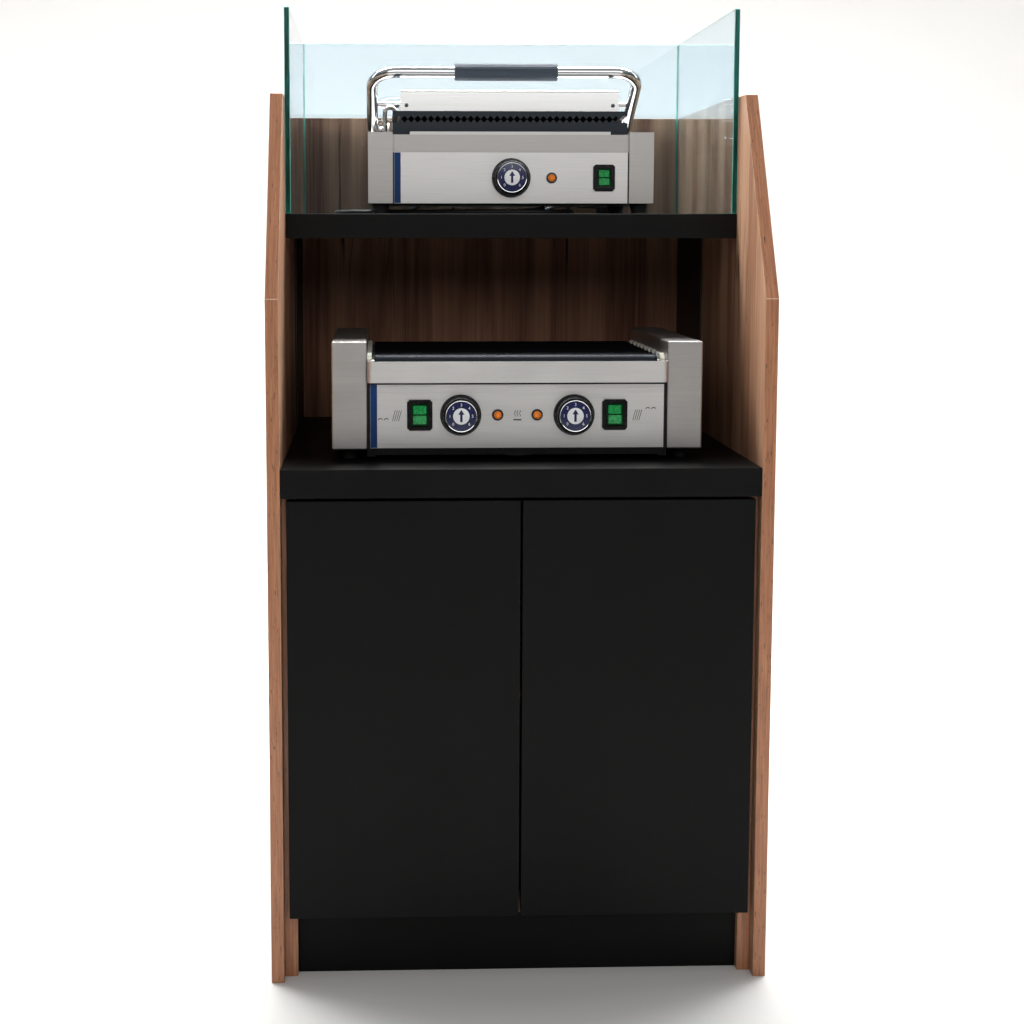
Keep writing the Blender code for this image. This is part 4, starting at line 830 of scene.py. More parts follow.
def rounded_outline(width, height, radius, steps=6):
    """Corner-rounded rectangle about its centre, as (across, up) points."""
    points = []
    for quarter, (sx, sz) in enumerate(((1, 1), (-1, 1), (-1, -1), (1, -1))):
        for k in range(steps + 1):
            angle = (quarter + k / steps) * math.pi / 2
            across = sx * (width / 2 - radius) + radius * math.cos(angle)
            up = sz * (height / 2 - radius) + radius * math.sin(angle)
            points.append((across, up))
    return points


def add_slab(mesh, outline, place, depth, turn=None, finish=0):
    """A thin plate with its outline in X and Z, standing out from its place towards the front."""
    turn = turn or Matrix.Identity(3)
    place = Vector(place)
    loops = []
    for out in (0.0, -depth):
        loops.append([mesh.verts.new(place + turn @ Vector((x, out, z))) for x, z in outline])
    for face in bridge(mesh, loops):
        face.material_index = finish


def add_frame(mesh, steps, place):
    """A frame from matching outlines, each with how far it stands out; the last joins the first."""
    place = Vector(place)
    loops = []
    for outline, out in steps:
        loops.append([mesh.verts.new(place + Vector((x, -out, z))) for x, z in outline])
    bridge(mesh, loops, ring=True)


def add_swept(mesh, path, radii, sides):
    """A closed tube along a path, its radius given point by point."""
    loops = []
    normal = None
    for k, spot in enumerate(path):
        ahead = (path[min(k + 1, len(path) - 1)] - path[max(k - 1, 0)]).normalized()
        if normal is None:
            normal = ahead.orthogonal().normalized()
        normal = (normal - ahead * normal.dot(ahead)).normalized()
        side = ahead.cross(normal)
        loop = []
        for j in range(sides):
            angle = 2 * math.pi * j / sides
            out = math.cos(angle) * normal + math.sin(angle) * side
            loop.append(mesh.verts.new(spot + radii[k] * out))
        loops.append(loop)
    bridge(mesh, loops)


def bent_path(corners, radii, steps=14):
    """Points along straight runs joined by round bends."""
    points = [corners[0]]
    for before, corner, after, radius in zip(corners, corners[1:], corners[2:], radii):
        back = (before - corner).normalized()
        on = (after - corner).normalized()
        half = back.angle(on) / 2
        centre = corner + (back + on).normalized() * (radius / math.sin(half))
        start = corner + back * (radius / math.tan(half)) - centre
        end = corner + on * (radius / math.tan(half)) - centre
        for k in range(steps + 1):
            points.append(centre + radius * start.normalized().slerp(end.normalized(), k / steps))
    points.append(corners[-1])
    return points


def even_path(points, step):
    """The same path with evenly spaced points."""
    total = sum((b - a).length for a, b in zip(points, points[1:]))
    count = max(1, round(total / step))
    spaced = [points[0]]
    travelled = 0.0
    for a, b in zip(points, points[1:]):
        run = (b - a).length
        while len(spaced) < count and travelled + run >= total * len(spaced) / count:
            spaced.append(a.lerp(b, (total * len(spaced) / count - travelled) / run))
        travelled += run
    return spaced + [points[-1]]


def smooth_path(points, parts=8):
    """A smooth curve through the points."""
    ends = [2 * points[0] - points[1], *points, 2 * points[-1] - points[-2]]
    fine = []
    for a, b, c, d in zip(ends, ends[1:], ends[2:], ends[3:]):
        for k in range(parts):
            t = k / parts
            square = (2 * a - 5 * b + 4 * c - d) * t**2
            cube = (3 * b - a - 3 * c + d) * t**3
            fine.append((2 * b + (c - a) * t + square + cube) / 2)
    return fine + [points[-1]]


def add_numeral(mesh, text, height, thickness, matrix):
    """A generic numeral as thin raised print."""
    letters = bpy.data.curves.new("numeral", "FONT")
    letters.body = text
    letters.size = height
    letters.extrude = thickness
    letters.align_x = "CENTER"
    letters.align_y = "CENTER"
    letters.resolution_u = 4
    holder = bpy.data.objects.new("numeral", letters)
    shape = bpy.data.meshes.new_from_object(holder)
    shape.transform(matrix)
    mesh.from_mesh(shape)
    bpy.data.objects.remove(holder)
    bpy.data.curves.remove(letters)
    bpy.data.meshes.remove(shape)


# Operators

class COUNTER_OT_mains_lead(bpy.types.Operator):
    """Lay the contact grill's lead with its strain relief and plug"""
    bl_idname = "counter.mains_lead"
    bl_label = "Mains lead"

    def execute(self, context):
        origin = contact_origin()
        route = smooth_path([origin + Vector(point) for point in CORD_ROUTE])
        curve = bpy.data.curves.new("lead_flex", "CURVE")
        curve.dimensions = "3D"
        curve.bevel_depth = CORD_RADIUS
        curve.bevel_resolution = 5
        curve.use_fill_caps = True
        spline = curve.splines.new("POLY")
        spline.points.add(len(route) - 1)
        for point, spot in zip(spline.points, route):
            point.co = (*spot, 1.0)
        spline.use_smooth = True
        curve.materials.append(moulded_rubber())
        flex = bpy.data.objects.new("lead_flex", curve)
        context.scene.collection.objects.link(flex)
        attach(flex, "counter")
        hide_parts("mains_cord")
        relief = self.strain_relief()
        plug = self.plug(origin + Vector(PLUG_START))
        return {"FINISHED"}

    def strain_relief(self):
        """A nut and a tapered, ribbed sleeve where the lead leaves the base."""
        profile = [(0.0, 11.0), (4.4, 11.0), (5.0, 10.4), (5.0, 8.5)]
        for k in range(6):
            rib = 6.5 + 3.8 * k
            wide = 8.5 - 0.55 * k
            profile += [(rib, wide), (rib + 1.1, wide - 1.1), (rib + 2.7, wide - 1.1)]
        profile += [(29.4, 5.2), (30.0, 4.6)]
        centre = middle("cord_gland")
        start = (centre.x, box_of("cord_gland")[0].y, centre.z)
        mesh = bmesh.new()
        add_turned(mesh, in_mm(profile), start, Y_AXIS, SMALL_SIDES)
        return finish_piece("lead_strain_relief", mesh, [moulded_rubber()], "counter",
                            ["cord_gland"])

    def plug(self, start):
        """A round two-pin plug with a ribbed neck."""
        neck = [(0.0, 4.6), (0.6, 5.0)]
        for k in range(6):
            rib = 2.0 + 4.4 * k
            wide = 5.1 + 0.3 * k
            neck += [(rib, wide), (rib + 1.2, wide - 0.6), (rib + 2.8, wide - 0.6)]
        body = [(30.0, 7.0), (30.0, 12.6), (31.0, 13.4), (40.8, 18.4), (42.0, 19.0), (62.6, 19.0)]
        face = [(63.6, 18.6), (64.0, 17.8), (64.0, 15.6), (63.4, 15.2), (63.4, 0.0)]
        mesh = bmesh.new()
        add_turned(mesh, in_mm(neck + body + face), start, X_AXIS)
        for side in (-1, 1):
            spot = start + Vector((0.0, side * 9.5 * MM, 0.0))
            add_turned(mesh, in_mm(PLUG_PIN), spot, X_AXIS, TINY_SIDES, finish=1)
        finishes = [moulded_rubber(), nickel_plated_steel()]
        return finish_piece("lead_plug", mesh, finishes, "counter", ["mains_plug"])


class COUNTER_OT_boards(bpy.types.Operator):
    """Finish the oak-print and black boards and the shelf supports"""
    bl_idname = "counter.boards"
    bl_label = "Boards"

    def execute(self, context):
        side = frame["nodes"]["outer_side_left"]
        front = box_of("outer_side_left")[0].y
        lean_start = max(vert.co.z for vert in side.data.vertices if vert.co.y < front + MM)
        tone = colours()
        oak = (tone.oak_light, tone.oak_dark)
        shaded_back_oak = (tone.heart_light, tone.heart_dark)
        sides = oak_melamine("melamine_board_oak_sides", "X", "Z", *oak, joint_height=lean_start)
        dress(sides, "outer_side_left", "outer_side_right")
        carcass = oak_melamine("melamine_board_oak_carcass", "X", "Z", *oak)
        dress(carcass, "carcass_side_left", "carcass_side_right")
        # The back board takes the darker copy of the oak, painted shade for the niche
        dress(oak_melamine("melamine_board_oak_back_painted_shade", "Y", "Z", *shaded_back_oak, sheen=0.2), "back_panel")
        dress(oak_melamine("melamine_board_oak_level", "Z", "X", *oak), "carcass_floor", "inner_shelf")
        dress(black_melamine(), "worktop", "upper_shelf", "plinth", "door_left", "door_right")
        dress(black_powder_coat(), "shelf_support_left", "shelf_support_right")
        for name in ("worktop", "upper_shelf", "door_left", "door_right"):
            edge = frame["nodes"][name].modifiers.new("soft_arris", "BEVEL")
            edge.width = sizes().board_arris
            edge.segments = 2
            edge.limit_method = "ANGLE"
            edge.angle_limit = SOFT_ANGLE
        return {"FINISHED"}


class COUNTER_OT_hinges(bpy.types.Operator):
    """Fit plated cups to the doors and screws to the hinge arms"""
    bl_idname = "counter.hinges"
    bl_label = "Door hinges"

    def execute(self, context):
        for side, sign in HINGE_SIDES:
            mesh = bmesh.new()
            back = box_of("door_" + side)[1].y
            for height in HINGE_HEIGHTS:
                self.add_cup(mesh, Vector((sign * HINGE_CUP_X, back, height)))
            finish_piece("hinge_cups_" + side, mesh, [nickel_plated_steel()], side + "_door")
        mesh = bmesh.new()
        for side, sign in HINGE_SIDES:
            for level in ("lower", "upper"):
                node = "hinge_arm_" + side + "_" + level
                dress(nickel_plated_steel(), node)
                low, high = box_of(node)
                face = (high.x if sign > 0 else low.x) - sign * HINGE_PLATE
                for up in (-HINGE_SCREW_RISE, HINGE_SCREW_RISE):
                    spot = Vector((face, high.y - HINGE_SCREW_INSET, (low.z + high.z) / 2 + up))
                    add_turned(mesh, in_mm(ARM_SCREW), spot, X_AXIS * -sign, TINY_SIDES)
        finish_piece("hinge_screws", mesh, [nickel_plated_steel()], "counter")
        return {"FINISHED"}

    def add_cup(self, mesh, spot):
        """A pressed cup with its flange and two screws, on the back of a door."""
        rim = HINGE_CUP / MM
        proud = PROUD / MM
        cup = [(-0.8, rim + 0.4), (-0.2, rim + 0.4), (proud, rim - 0.2), (proud, rim - 1.6),
               (proud - 0.1, 0.0)]
        add_turned(mesh, in_mm(cup), spot, Y_AXIS)
        board = spot - Vector((0.0, HINGE_CUP_PROUD, 0.0))
        for up in (-1, 1):
            place = board + Vector((0.0, HINGE_EAR_PROUD, up * HINGE_EAR_RISE))
            add_slab(mesh, rounded_outline(*HINGE_EAR), place, HINGE_EAR_SHEET)
            add_turned(mesh, in_mm(CUP_SCREW), place, Y_AXIS, TINY_SIDES)


class COUNTER_OT_glass_guard(bpy.types.Operator):
    """Build the three glass panes with ground edges"""
    bl_idname = "counter.glass_guard"
    bl_label = "Glass guard"

    def execute(self, context):
        for node in ("glass_left", "glass_right", "glass_back"):
            low, high = box_of(node)
            mesh = bmesh.new()
            corners = bmesh.ops.create_cube(mesh, size=1.0)["verts"]
            size = high - low
            for vert in corners:
                vert.co = Vector([low[k] + (vert.co[k] + 0.5) * size[k] for k in range(3)])
            bmesh.ops.bevel(mesh, geom=mesh.edges[:], offset=GLASS_ARRIS, segments=1, affect="EDGES")
            thin = min(range(3), key=lambda k: size[k])
            mesh.normal_update()
            for face in mesh.faces:
                along = [abs(part) for part in face.normal]
                edge = 1 if max(along) > SQUARE else 2
                face.material_index = 0 if along[thin] > SQUARE else edge
            finishes = [float_glass(), ground_glass_edge(), bright_glass_arris()]
            finish_piece("pane_" + node.split("_")[1], mesh, finishes, "counter", [node])
        return {"FINISHED"}


class COUNTER_OT_grill_bodies(bpy.types.Operator):
    """Finish the sheet of both grills, fit their rubber feet and lay painted shadow in their seams"""
    bl_idname = "counter.grill_bodies"
    bl_label = "Grill bodies"

    def execute(self, context):
        dress(panel_steel(), "roller_panel", "roller_guard", "contact_panel")
        dress(housing_steel(), "roller_housing_left", "roller_housing_right", "contact_base", "grease_tray")
        dress(galvanised_sheet(), "roller_chassis")
        dress(black_enamel(), "drip_tray")
        dress(white_acetal(), "bearing_strip_left", "bearing_strip_right")
        low = box_of("roller_housing_left")[0]
        self.feet("roller_feet", Vector((0.0, low.y, low.z)), ROLLER_FEET, ROLLER_FOOT)
        self.feet("contact_feet", contact_origin(), CONTACT_FEET, CONTACT_FOOT)
        self.gaskets()
        return {"FINISHED"}

    def gaskets(self):
        """Black rubber strips of painted shadow in the seams by the contact panel and under the roller
        guard.
        """
        # Painted shadow: black strips darken the seams and the line under the guard, where shade falls
        low, high = box_of("contact_panel")
        mesh = bmesh.new()
        for x in (low.x - SEAM_MIDDLE, high.x + SEAM_MIDDLE):
            spot = Vector((x, high.y, (low.z + high.z) / 2))
            add_slab(mesh, rounded_outline(SEAM_SHADOW_STRIP, high.z - low.z, SIGN_CORNER, 2), spot, SHADOW_STRIP_PROUD)
        low, high = box_of("roller_panel")
        spot = Vector((0.0, high.y - ROLLER_PANEL_SHEET, high.z - GUARD_SHADOW_DROP))
        add_slab(mesh, rounded_outline(high.x - low.x, GUARD_SHADOW_STRIP, SIGN_CORNER, 2), spot, SHADOW_STRIP_PROUD)
        finish_piece("panel_painted_shadow_strips", mesh, [moulded_rubber()], "counter")

    def feet(self, name, origin, places, radius):
        """Ribbed rubber sleeves over the feet of a grill, tapered to the floor."""
        ribs = sizes().foot_ribs
        profile = []
        for k in range(ribs):
            for part, inset in FOOT_RIB:
                share = (k + part) / ribs
                wide = radius * (FOOT_TAPER + (1.0 - FOOT_TAPER) * share)
                profile.append((share * FOOT_HEIGHT, wide + FOOT_SLEEVE - inset * MM))
        mesh = bmesh.new()
        for x, y in places:
            add_turned(mesh, profile, origin + Vector((x, y, 0.0)), Z_AXIS, SMALL_SIDES)
        finish_piece(name, mesh, [moulded_rubber()], "counter")


class COUNTER_OT_rollers(bpy.types.Operator):
    """Build the nine coated rollers with their stub axles"""
    bl_idname = "counter.rollers"
    bl_label = "Rollers"

    def execute(self, context):
        for k, ordinal in enumerate(ROLLER_BODIES):
            node = "roller_%d" % (k + 1)
            low, high = box_of(node)
            radius = (high.z - low.z) / 2
            half = (high.x - low.x) / 2
            tube = half - AXLE_LENGTH
            centre = (low + high) / 2
            rim = 1.0 * MM
            outer = [(tube - 5 * rim, radius), (tube - rim, radius),
                     (tube - 0.3 * rim, radius - 0.3 * rim), (tube, radius - rim)]
            profile = [(-along, wide) for along, wide in reversed(outer)] + outer
            mesh = bmesh.new()
            add_turned(mesh, profile, centre, X_AXIS)
            chamfer = 0.5 * MM
            stub = [(tube - rim, AXLE_RADIUS), (half - chamfer, AXLE_RADIUS),
                    (half, AXLE_RADIUS - chamfer), (half, 0.0)]
            for sign in (-1, 1):
                add_turned(mesh, stub, centre, X_AXIS * sign, SMALL_SIDES, finish=1)
            finishes = [non_stick_coating(), nickel_plated_steel()]
            finish_piece("coated_" + node, mesh, finishes, ordinal + "_roller", [node])
        return {"FINISHED"}


class COUNTER_OT_controls(bpy.types.Operator):
    """Fit dials, switch frames, rockers, lamps, stripes and pictograms to both panels"""
    bl_idname = "counter.controls"
    bl_label = "Controls"

    def execute(self, context):
        for name, grill in GRILLS.items():
            low, high = box_of(grill["panel"])
            front = high.y - grill["sheet"]
            frames = bmesh.new()
            bezels = bmesh.new()
            for body, node in grill["rockers"].items():
                place = joint_place(body)
                self.add_switch_frame(frames, Vector((place.x, front, place.z)), grill["frame"])
                dress(green_lens(), node)
                self.rocker_windows(body, place, grill["frame"])
            for body, node in grill["dials"].items():
                place = joint_place(body)
                self.add_bezel(bezels, Vector((place.x, front, place.z)), *DIAL_BEZEL)
                self.dial(body, place, node)
            for node in grill["lamps"]:
                spot = middle(node)
                self.add_bezel(bezels, Vector((spot.x, front, spot.z)), *LAMP_BEZEL)
                self.lamp(node)
            finish_piece(name + "_switch_frames", frames, [black_phenolic()], "counter")
            finish_piece(name + "_bezels", bezels, [dark_chrome()], "counter")
            self.stripe(name, low, high, front)
        self.pictograms()
        return {"FINISHED"}

    def add_switch_frame(self, mesh, place, size):
        """A moulded frame with rounded corners over the frame of a switch."""
        cover = sizes().frame_cover
        corner = sizes().frame_round
        wide = size[0] + 2 * cover
        tall = size[1] + 2 * cover
        hole_wide = size[0] - 2 * (FRAME_RIM - ROCKER_GAP)
        hole_tall = size[1] - 2 * (FRAME_RIM - ROCKER_SWING)
        out = FRAME_PROUD + PROUD
        chamfer = 0.6 * MM
        steps = [
            (rounded_outline(wide, tall, corner), 0.0),
            (rounded_outline(wide, tall, corner), out - chamfer),
            (rounded_outline(wide - 2 * chamfer, tall - 2 * chamfer, corner - 0.4 * MM), out),
            (rounded_outline(hole_wide + 0.1 * MM, hole_tall + 0.1 * MM, 1.0 * MM), out),
            (rounded_outline(hole_wide - PROUD, hole_tall - PROUD, 0.9 * MM), FRAME_PROUD),
            (rounded_outline(hole_wide - PROUD, hole_tall - PROUD, 0.9 * MM), 0.0),
        ]
        add_frame(mesh, steps, place)

    def rocker_windows(self, body, place, size):
        """Bright windows let into both halves of a rocker, one tilted each way."""
        tilt = Matrix.Rotation(-ROCKER_TILT, 3, "X")
        half = size[1] / 2 - FRAME_RIM
        slope = math.atan2(ROCKER_HOLLOW, half)
        deep = -(FRAME_PROUD + ROCKER_PROUD) + ROCKER_HOLLOW
        wide = size[0] - 2 * (FRAME_RIM + WINDOW_BORDER)
        mesh = bmesh.new()
        for sign in (-1, 1):
            lean = tilt @ Matrix.Rotation(sign * slope, 3, "X")
            spot = Vector((0.0, deep - ROCKER_HOLLOW * WINDOW_PLACE, sign * half * WINDOW_PLACE))
            spot = place + tilt @ spot
            outline = rounded_outline(wide, half - WINDOW_TRIM, WINDOW_CORNER, 4)
            add_slab(mesh, outline, spot, WINDOW_PROUD, lean)
        finish_piece(body + "_windows", mesh, [bright_green_lens()], body)

    def add_bezel(self, mesh, place, radius, inner):
        """A thin smoked ring over the bezel of a dial or lamp."""
        out = BEZEL_PROUD + PROUD
        edge = radius + 0.35 * MM
        inside = edge - 0.15 * MM
        chamfer = 0.5 * MM
        under = out - 0.1 * MM
        profile = [(0.0, edge), (out - chamfer, edge), (out, edge - chamfer), (out, inner),
                   (under, inner), (under, inside - chamfer), (0.0, inside)]
        add_turned(mesh, profile, place, -Y_AXIS, ring=True)

    def dial(self, body, place, node):
        """A moulded dial with a smoked band, a chrome ring and a numbered blue disc."""
        mesh = bmesh.new()
        turned = [(0.0, 26.4), (2.6, 26.5), (3.0, 26.3), (3.6, 25.7), (4.2, 25.6), (14.6, 24.9),
                  (16.2, 24.6), (17.1, 23.9), (17.5, 22.9), (17.4, 22.6), (16.6, 22.5), (16.6, 0.0)]
        add_turned(mesh, in_mm(turned), place, -Y_AXIS)
        band = [(12.8, 24.9), (13.2, 25.2), (14.8, 25.1), (15.2, 24.7), (14.8, 24.5), (13.0, 24.5)]
        add_turned(mesh, in_mm(band), place, -Y_AXIS, ring=True, finish=1)
        ring = [(16.55, 22.5), (17.2, 22.5), (17.42, 22.1), (17.2, 21.3), (16.55, 21.2)]
        add_turned(mesh, in_mm(ring), place, -Y_AXIS, ring=True, finish=2)
        disc = [(16.5, 21.25), (16.85, 21.2), (16.95, 20.4), (DIAL_FACE / MM, 0.0)]
        add_turned(mesh, in_mm(disc), place, -Y_AXIS, finish=3)
        finishes = [black_phenolic(), dark_chrome(), chromed_tube(), blue_acrylic()]
        finish_piece(body + "_knob", mesh, finishes, body, [node])
        self.dial_marks(body, place)

    def dial_marks(self, body, place):
        """Numbers round the disc of a dial and a pointer on its white centre."""
        count = sizes().dial_marks
        face = place - DIAL_FACE * Y_AXIS
        stand = Matrix.Rotation(math.pi / 2, 4, "X")
        mesh = bmesh.new()
        for k in range(count + 1):
            angle = math.radians(DIAL_SWEEP * (k / count - 0.5))
            spot = face + NUMERAL_RING * Vector((math.sin(angle), 0.0, math.cos(angle)))
            add_numeral(mesh, str(k), NUMERAL_HEIGHT, NUMERAL_PRINT, Matrix.Translation(spot) @ stand)
        centre = [(0.0, 11.6), (0.10, 11.6), (0.14, 11.3), (DIAL_CENTRE / MM, 0.0)]
        add_turned(mesh, in_mm(centre), face, -Y_AXIS)
        pointer = [(-1.7, -8.0), (1.7, -8.0), (1.7, 2.4), (4.4, 2.4), (0.0, 9.4), (-4.4, 2.4), (-1.7, 2.4)]
        add_slab(mesh, in_mm(pointer), face - DIAL_CENTRE * Y_AXIS, POINTER_PRINT, finish=1)
        finish_piece(body + "_marks", mesh, [white_ink(), blue_acrylic()], body)

    def lamp(self, node):
        """A domed lens on a short straight rim."""
        low, high = box_of(node)
        radius = (high.z - low.z) / 2
        depth = high.y - low.y
        rim = 1.0 * MM
        steps = 8
        profile = [(0.0, radius), (rim, radius)]
        for k in range(1, steps):
            angle = k / steps * math.pi / 2
            profile.append((rim + (depth - rim) * math.sin(angle), radius * math.cos(angle)))
        profile.append((depth, 0.0))
        spot = Vector(((low.x + high.x) / 2, high.y, (low.z + high.z) / 2))
        mesh = bmesh.new()
        add_turned(mesh, profile, spot, -Y_AXIS, SMALL_SIDES)
        finish_piece(node + "_lens", mesh, [amber_lens()], "counter", [node])

    def stripe(self, name, low, high, front):
        """A plain stripe at the left end of a panel."""
        width = sizes().stripe_width
        mesh = bmesh.new()
        centre = Vector((low.x + width / 2 + STRIPE_INSET, front, (low.z + high.z) / 2))
        tall = high.z - low.z - 4 * STRIPE_INSET
        add_slab(mesh, rounded_outline(width, tall, SIGN_CORNER, 2), centre, STRIPE_FILM)
        finish_piece(name + "_stripe", mesh, [blue_vinyl()], "counter")

    def pictograms(self):
        """Small plain signs for rollers and heat on the roller panel."""
        front = box_of("roller_panel")[1].y - ROLLER_PANEL_SHEET
        height = joint_place("left_roller_dial").z
        mesh = bmesh.new()
        roller = rounded_outline(0.9 * MM, 16.0 * MM, SIGN_CORNER, 2)
        slant = Matrix.Rotation(math.radians(15), 3, "Y")
        for sign, rise in ((-1, -7.5 * MM), (1, 7.0 * MM)):
            for k in range(4):
                spot = Vector((sign * ROLLER_SIGN_X + (k - 1.5) * 2.9 * MM, front, height - 0.8 * MM))
                add_slab(mesh, roller, spot, PRINT, slant)
            for k in (-1, 1):
                self.add_hook(mesh, Vector((sign * HOOK_SIGN_X + k * 4.2 * MM, front, height + rise)))
        for k in (-1, 0, 1):
            self.add_wave(mesh, Vector((k * 3.6 * MM, front, height + 2.0 * MM)))
        bar = Vector((0.0, front, height - 7.0 * MM))
        add_slab(mesh, rounded_outline(11.5 * MM, 2.0 * MM, SIGN_CORNER, 2), bar, PRINT)
        finish_piece("roller_pictograms", mesh, [grey_ink()], "counter")

    def add_hook(self, mesh, spot):
        """A small curved arrow."""
        outline = []
        for radius, steps in ((3.6, range(9)), (2.3, range(8, -1, -1))):
            for k in steps:
                angle = math.radians(20 + 150 * k / 8)
                outline.append((radius * math.cos(angle), radius * math.sin(angle)))
        add_slab(mesh, in_mm(outline), spot, PRINT)

    def add_wave(self, mesh, spot):
        """One upright wave of the heat sign."""
        left = []
        right = []
        for k in range(13):
            up = (k / 12 - 0.5) * 9.0
            sway = 0.9 * math.sin(2 * math.pi * k / 8)
            left.append((sway - 0.5, up))
            right.append((sway + 0.5, up))
        add_slab(mesh, in_mm(right + left[::-1]), spot, PRINT)


class COUNTER_OT_contact_lid(bpy.types.Operator):
    """Build the contact grill's handle, rod and conduit and finish its plates and cover"""
    bl_idname = "counter.contact_lid"
    bl_label = "Contact grill lid"

    def execute(self, context):
        dress(enamelled_iron(), "lower_plate", "upper_plate")
        dress(polished_stainless(), "top_cover")
        self.handle()
        self.grip()
        self.rod()
        self.conduit()
        self.drain_lip()
        self.cover_screws()
        return {"FINISHED"}

    def handle(self):
        """A chromed tube bent from one hinge stub over the bar to the other."""
        low, high = box_of("handle")
        centre = (low.x + high.x) / 2
        arm = (high.x - low.x) / 2 - HANDLE_TUBE
        bar_y = low.y + HANDLE_TUBE
        bar_z = high.z - HANDLE_TUBE
        pivot_y = high.y - HANDLE_TUBE
        pivot_z = low.z + HANDLE_TUBE
        corners = []
        for sign in (-1, 1):
            run = [Vector((centre + sign * HANDLE_STUB_END, pivot_y, pivot_z)),
                   Vector((centre + sign * arm, pivot_y, pivot_z)),
                   Vector((centre + sign * arm, bar_y, bar_z))]
            corners += run if sign < 0 else run[::-1]
        bends = [HANDLE_STUB_BEND, HANDLE_BAR_BEND, HANDLE_BAR_BEND, HANDLE_STUB_BEND]
        path = bent_path(corners, bends)
        mesh = bmesh.new()
        add_swept(mesh, path, [HANDLE_TUBE] * len(path), HANDLE_SIDES)
        finish_piece("handle_tube", mesh, [chromed_tube()], "lid_handle", ["handle"])

    def grip(self):
        """A fluted rubber sleeve with rounded ends."""
        low, high = box_of("handle_grip")
        radius = (high.z - low.z) / 2
        half = (high.x - low.x) / 2
        centre = (low + high) / 2
        flutes = sizes().grip_flutes
        sides = flutes * 4
        ends = [(-half, 2.4), (-half + 0.6 * MM, 0.8), (-half + 2.0 * MM, 0.0)]
        rings = ends + [(-along, inset) for along, inset in reversed(ends)]
        mesh = bmesh.new()
        loops = []
        for along, inset in rings:
            loop = []
            for k in range(sides):
                angle = 2 * math.pi * k / sides
                deep = FLUTE_DEPTH if k % 4 == 0 else 0.0
                wide = radius - inset * MM - deep
                spot = Vector((along, wide * math.cos(angle), wide * math.sin(angle)))
                loop.append(mesh.verts.new(centre + spot))
            loops.append(loop)
        bridge(mesh, loops)
        finish_piece("handle_sleeve", mesh, [slate_rubber()], "lid_handle", ["handle_grip"])

    def rod(self):
        """The chromed rod that the upper plate hangs on."""
        low, high = box_of("plate_rod")
        radius = (high.z - low.z) / 2
        half = (high.x - low.x) / 2
        chamfer = 0.6 * MM
        end = [(half - chamfer, radius), (half, radius - chamfer)]
        profile = [(-along, wide) for along, wide in reversed(end)] + end
        mesh = bmesh.new()
        add_turned(mesh, profile, (low + high) / 2, X_AXIS, SMALL_SIDES)
        finish_piece("hanging_rod", mesh, [chromed_tube()], "lid_handle", ["plate_rod"])

    def conduit(self):
        """A wound conduit that arches from the left housing to the upper plate."""
        low, high = box_of("flexible_lead")
        radius = (high.y - low.y) / 2
        outside = low.x + radius
        inside = high.x - radius
        gap = 0.3 * MM
        plate = box_of("upper_plate")[1].z + gap
        bend = (inside - outside) / 2 - gap
        y = (low.y + high.y) / 2
        top = high.z - radius
        corners = [Vector((outside, y, low.z)), Vector((outside, y, top)), Vector((inside, y, top)),
                   Vector((inside, y, plate))]
        pitch = sizes().conduit_pitch
        path = even_path(bent_path(corners, [bend, bend]), pitch / CONDUIT_STEPS)
        radii = []
        for k in range(len(path)):
            wave = math.cos(2 * math.pi * k / CONDUIT_STEPS) - 1.0
            radii.append(radius + CONDUIT_WAVE * wave)
        mesh = bmesh.new()
        add_swept(mesh, path, radii, TINY_SIDES)
        item = finish_piece("wound_conduit", mesh, [wound_steel()], None, ["flexible_lead"])
        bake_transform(item)

    def drain_lip(self):
        """A thin steel lip along the foot of the lower plate, over the grease tray."""
        low, high = box_of("lower_plate")
        mesh = bmesh.new()
        spot = Vector(((low.x + high.x) / 2, low.y, low.z + LIP_HEIGHT))
        add_slab(mesh, rounded_outline(*LIP_SIZE, 3), spot, LIP_SHEET)
        finish_piece("drain_lip", mesh, [panel_steel()], "counter")

    def cover_screws(self):
        """Two small dark screws at the front corners of the cover."""
        low, high = box_of("top_cover")
        mesh = bmesh.new()
        for x in (low.x + COVER_SCREW_INSET, high.x - COVER_SCREW_INSET):
            spot = Vector((x, low.y, low.z + COVER_SCREW_INSET))
            add_turned(mesh, in_mm(COVER_SCREW), spot, -Y_AXIS, TINY_SIDES)
        finish_piece("cover_screws", mesh, [dark_chrome()], "hanging_plate")


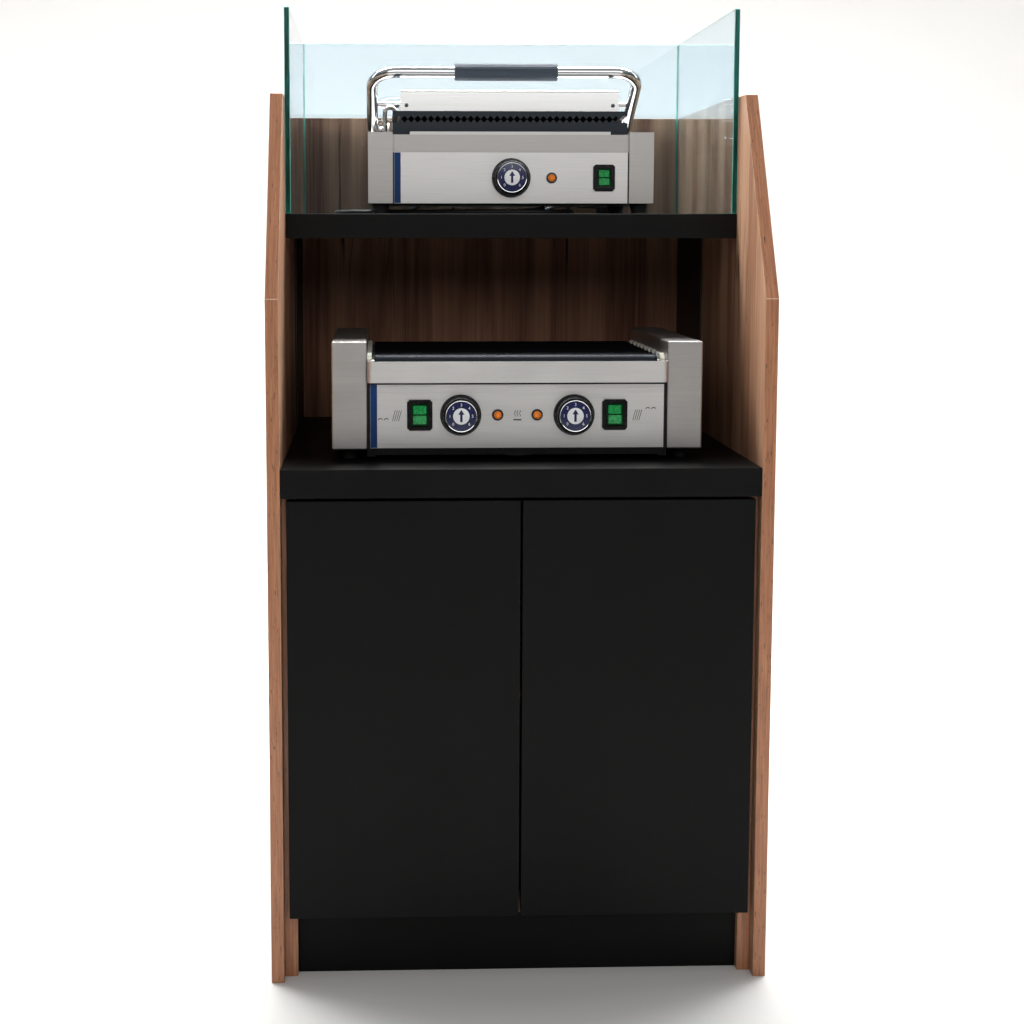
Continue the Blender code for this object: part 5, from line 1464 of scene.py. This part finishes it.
class COUNTER_OT_studio(bpy.types.Operator):
    """Set up the camera, the pale floor and the soft lights"""
    bl_idname = "counter.studio"
    bl_label = "Studio"

    def execute(self, context):
        scene = context.scene
        studio = scene.counter_studio
        scene.view_settings.view_transform = "Standard"
        front = CAD_BOX[0][1]
        view = bpy.data.cameras.new("studio_camera")
        view.sensor_width = 36.0
        view.lens = studio.lens
        view.shift_x = studio.shift_x
        view.shift_y = studio.shift_y
        view.dof.use_dof = False
        camera = bpy.data.objects.new("studio_camera", view)
        camera.location = (studio.camera_x, front - studio.camera_distance, studio.camera_height)
        camera.rotation_euler = (math.pi / 2 - studio.camera_pitch, 0.0, -studio.camera_yaw)
        scene.collection.objects.link(camera)
        scene.camera = camera
        self.backdrop()
        self.softbox("overhead_softbox", studio.overhead, size=(4.2, 1.0),
                     place=(0.0, 0.8, 3.2), target=(0.0, 0.0, 0.8))
        self.softbox("front_softbox", studio.key, size=(4.8, 1.7),
                     place=(0.1, -3.5, 2.35), target=(0.0, 0.0, 1.2))
        for side in (-1, 1):
            self.softbox("backdrop_lamp", studio.fill, size=(1.5, 2.4),
                         place=(side * 3.6, 0.6, 2.4), target=(side * 1.2, 3.2, 1.6))
        world = bpy.data.worlds.new("studio_room")
        world.use_nodes = True
        tree = world.node_tree
        room = tree.nodes["Background"]
        room.inputs["Strength"].default_value = studio.surround
        place = add_node(tree, "ShaderNodeTexCoord")
        parts = add_node(tree, "ShaderNodeSeparateXYZ", {"Vector": place.outputs["Generated"]})
        wall = add_node(tree, "ShaderNodeMapRange", {
            "Value": parts.outputs["Z"], "From Min": -1.0, "From Max": 1.0})
        stops = [(share, linear(grey)) for share, grey in ROOM_WALL]
        shade = add_node(tree, "ShaderNodeValToRGB", {"Fac": wall.outputs["Result"]}, stops=stops)
        tree.links.new(shade.outputs["Color"], room.inputs["Color"])
        scene.world = world
        return {"FINISHED"}

    def backdrop(self):
        """One sheet of paper that is the floor and bends up behind."""
        half = 6.0
        near = -6.0
        far = 3.2
        bend = 1.2
        top = 5.0
        line = [(near, 0.0), (far - bend, 0.0)]
        for k in range(1, 13):
            angle = k / 12 * math.pi / 2
            line.append((far - bend + bend * math.sin(angle), bend - bend * math.cos(angle)))
        line.append((far, top))
        mesh = bmesh.new()
        rows = [[mesh.verts.new((x, y, z)) for x in (-half, half)] for y, z in line]
        for first, second in zip(rows, rows[1:]):
            mesh.faces.new([first[0], first[1], second[1], second[0]])
        item = finish_piece("studio_backdrop", mesh, [studio_paper()], None)

    def softbox(self, name, power, size, place, target):
        """A wide soft lamp that looks at a point."""
        light = bpy.data.lights.new(name, "AREA")
        light.shape = "RECTANGLE"
        light.size = size[0]
        light.size_y = size[1]
        light.energy = power
        item = bpy.data.objects.new(name, light)
        item.location = place
        item.rotation_euler = (Vector(target) - Vector(place)).to_track_quat("-Z", "Y").to_euler()
        bpy.context.scene.collection.objects.link(item)


class COUNTER_PT_sidebar(bpy.types.Panel):
    """Builds and settings of the counter"""
    bl_label = "Hot dog counter"
    bl_idname = "COUNTER_PT_sidebar"
    bl_space_type = "VIEW_3D"
    bl_region_type = "UI"
    bl_category = "Counter"

    def draw(self, context):
        layout = self.layout
        scene = context.scene
        for operator in OPERATORS:
            layout.operator(operator.bl_idname)
        for group in (scene.counter_colours, scene.counter_sizes, scene.counter_studio):
            box = layout.box()
            for name in group.__annotations__:
                box.prop(group, name)


GROUPS = (CounterColours, CounterSizes, CounterStudio)
OPERATORS = (
    COUNTER_OT_studio,
    COUNTER_OT_mains_lead,
    COUNTER_OT_boards,
    COUNTER_OT_hinges,
    COUNTER_OT_glass_guard,
    COUNTER_OT_grill_bodies,
    COUNTER_OT_rollers,
    COUNTER_OT_controls,
    COUNTER_OT_contact_lid,
)


def register():
    """Add the settings, operators and panel."""
    for group in (*GROUPS, *OPERATORS, COUNTER_PT_sidebar):
        bpy.utils.register_class(group)
    bpy.types.Scene.counter_colours = PointerProperty(type=CounterColours)
    bpy.types.Scene.counter_sizes = PointerProperty(type=CounterSizes)
    bpy.types.Scene.counter_studio = PointerProperty(type=CounterStudio)


def unregister():
    """Take them away again."""
    del bpy.types.Scene.counter_studio
    del bpy.types.Scene.counter_sizes
    del bpy.types.Scene.counter_colours
    for group in reversed((*GROUPS, *OPERATORS, COUNTER_PT_sidebar)):
        bpy.utils.unregister_class(group)


def main():
    """Build the whole scene."""
    register()
    bpy.ops.counter.studio()
    bpy.ops.counter.mains_lead()
    bpy.ops.counter.boards()
    bpy.ops.counter.hinges()
    bpy.ops.counter.glass_guard()
    bpy.ops.counter.grill_bodies()
    bpy.ops.counter.rollers()
    bpy.ops.counter.controls()
    bpy.ops.counter.contact_lid()


if __name__ == "__main__":
    main()
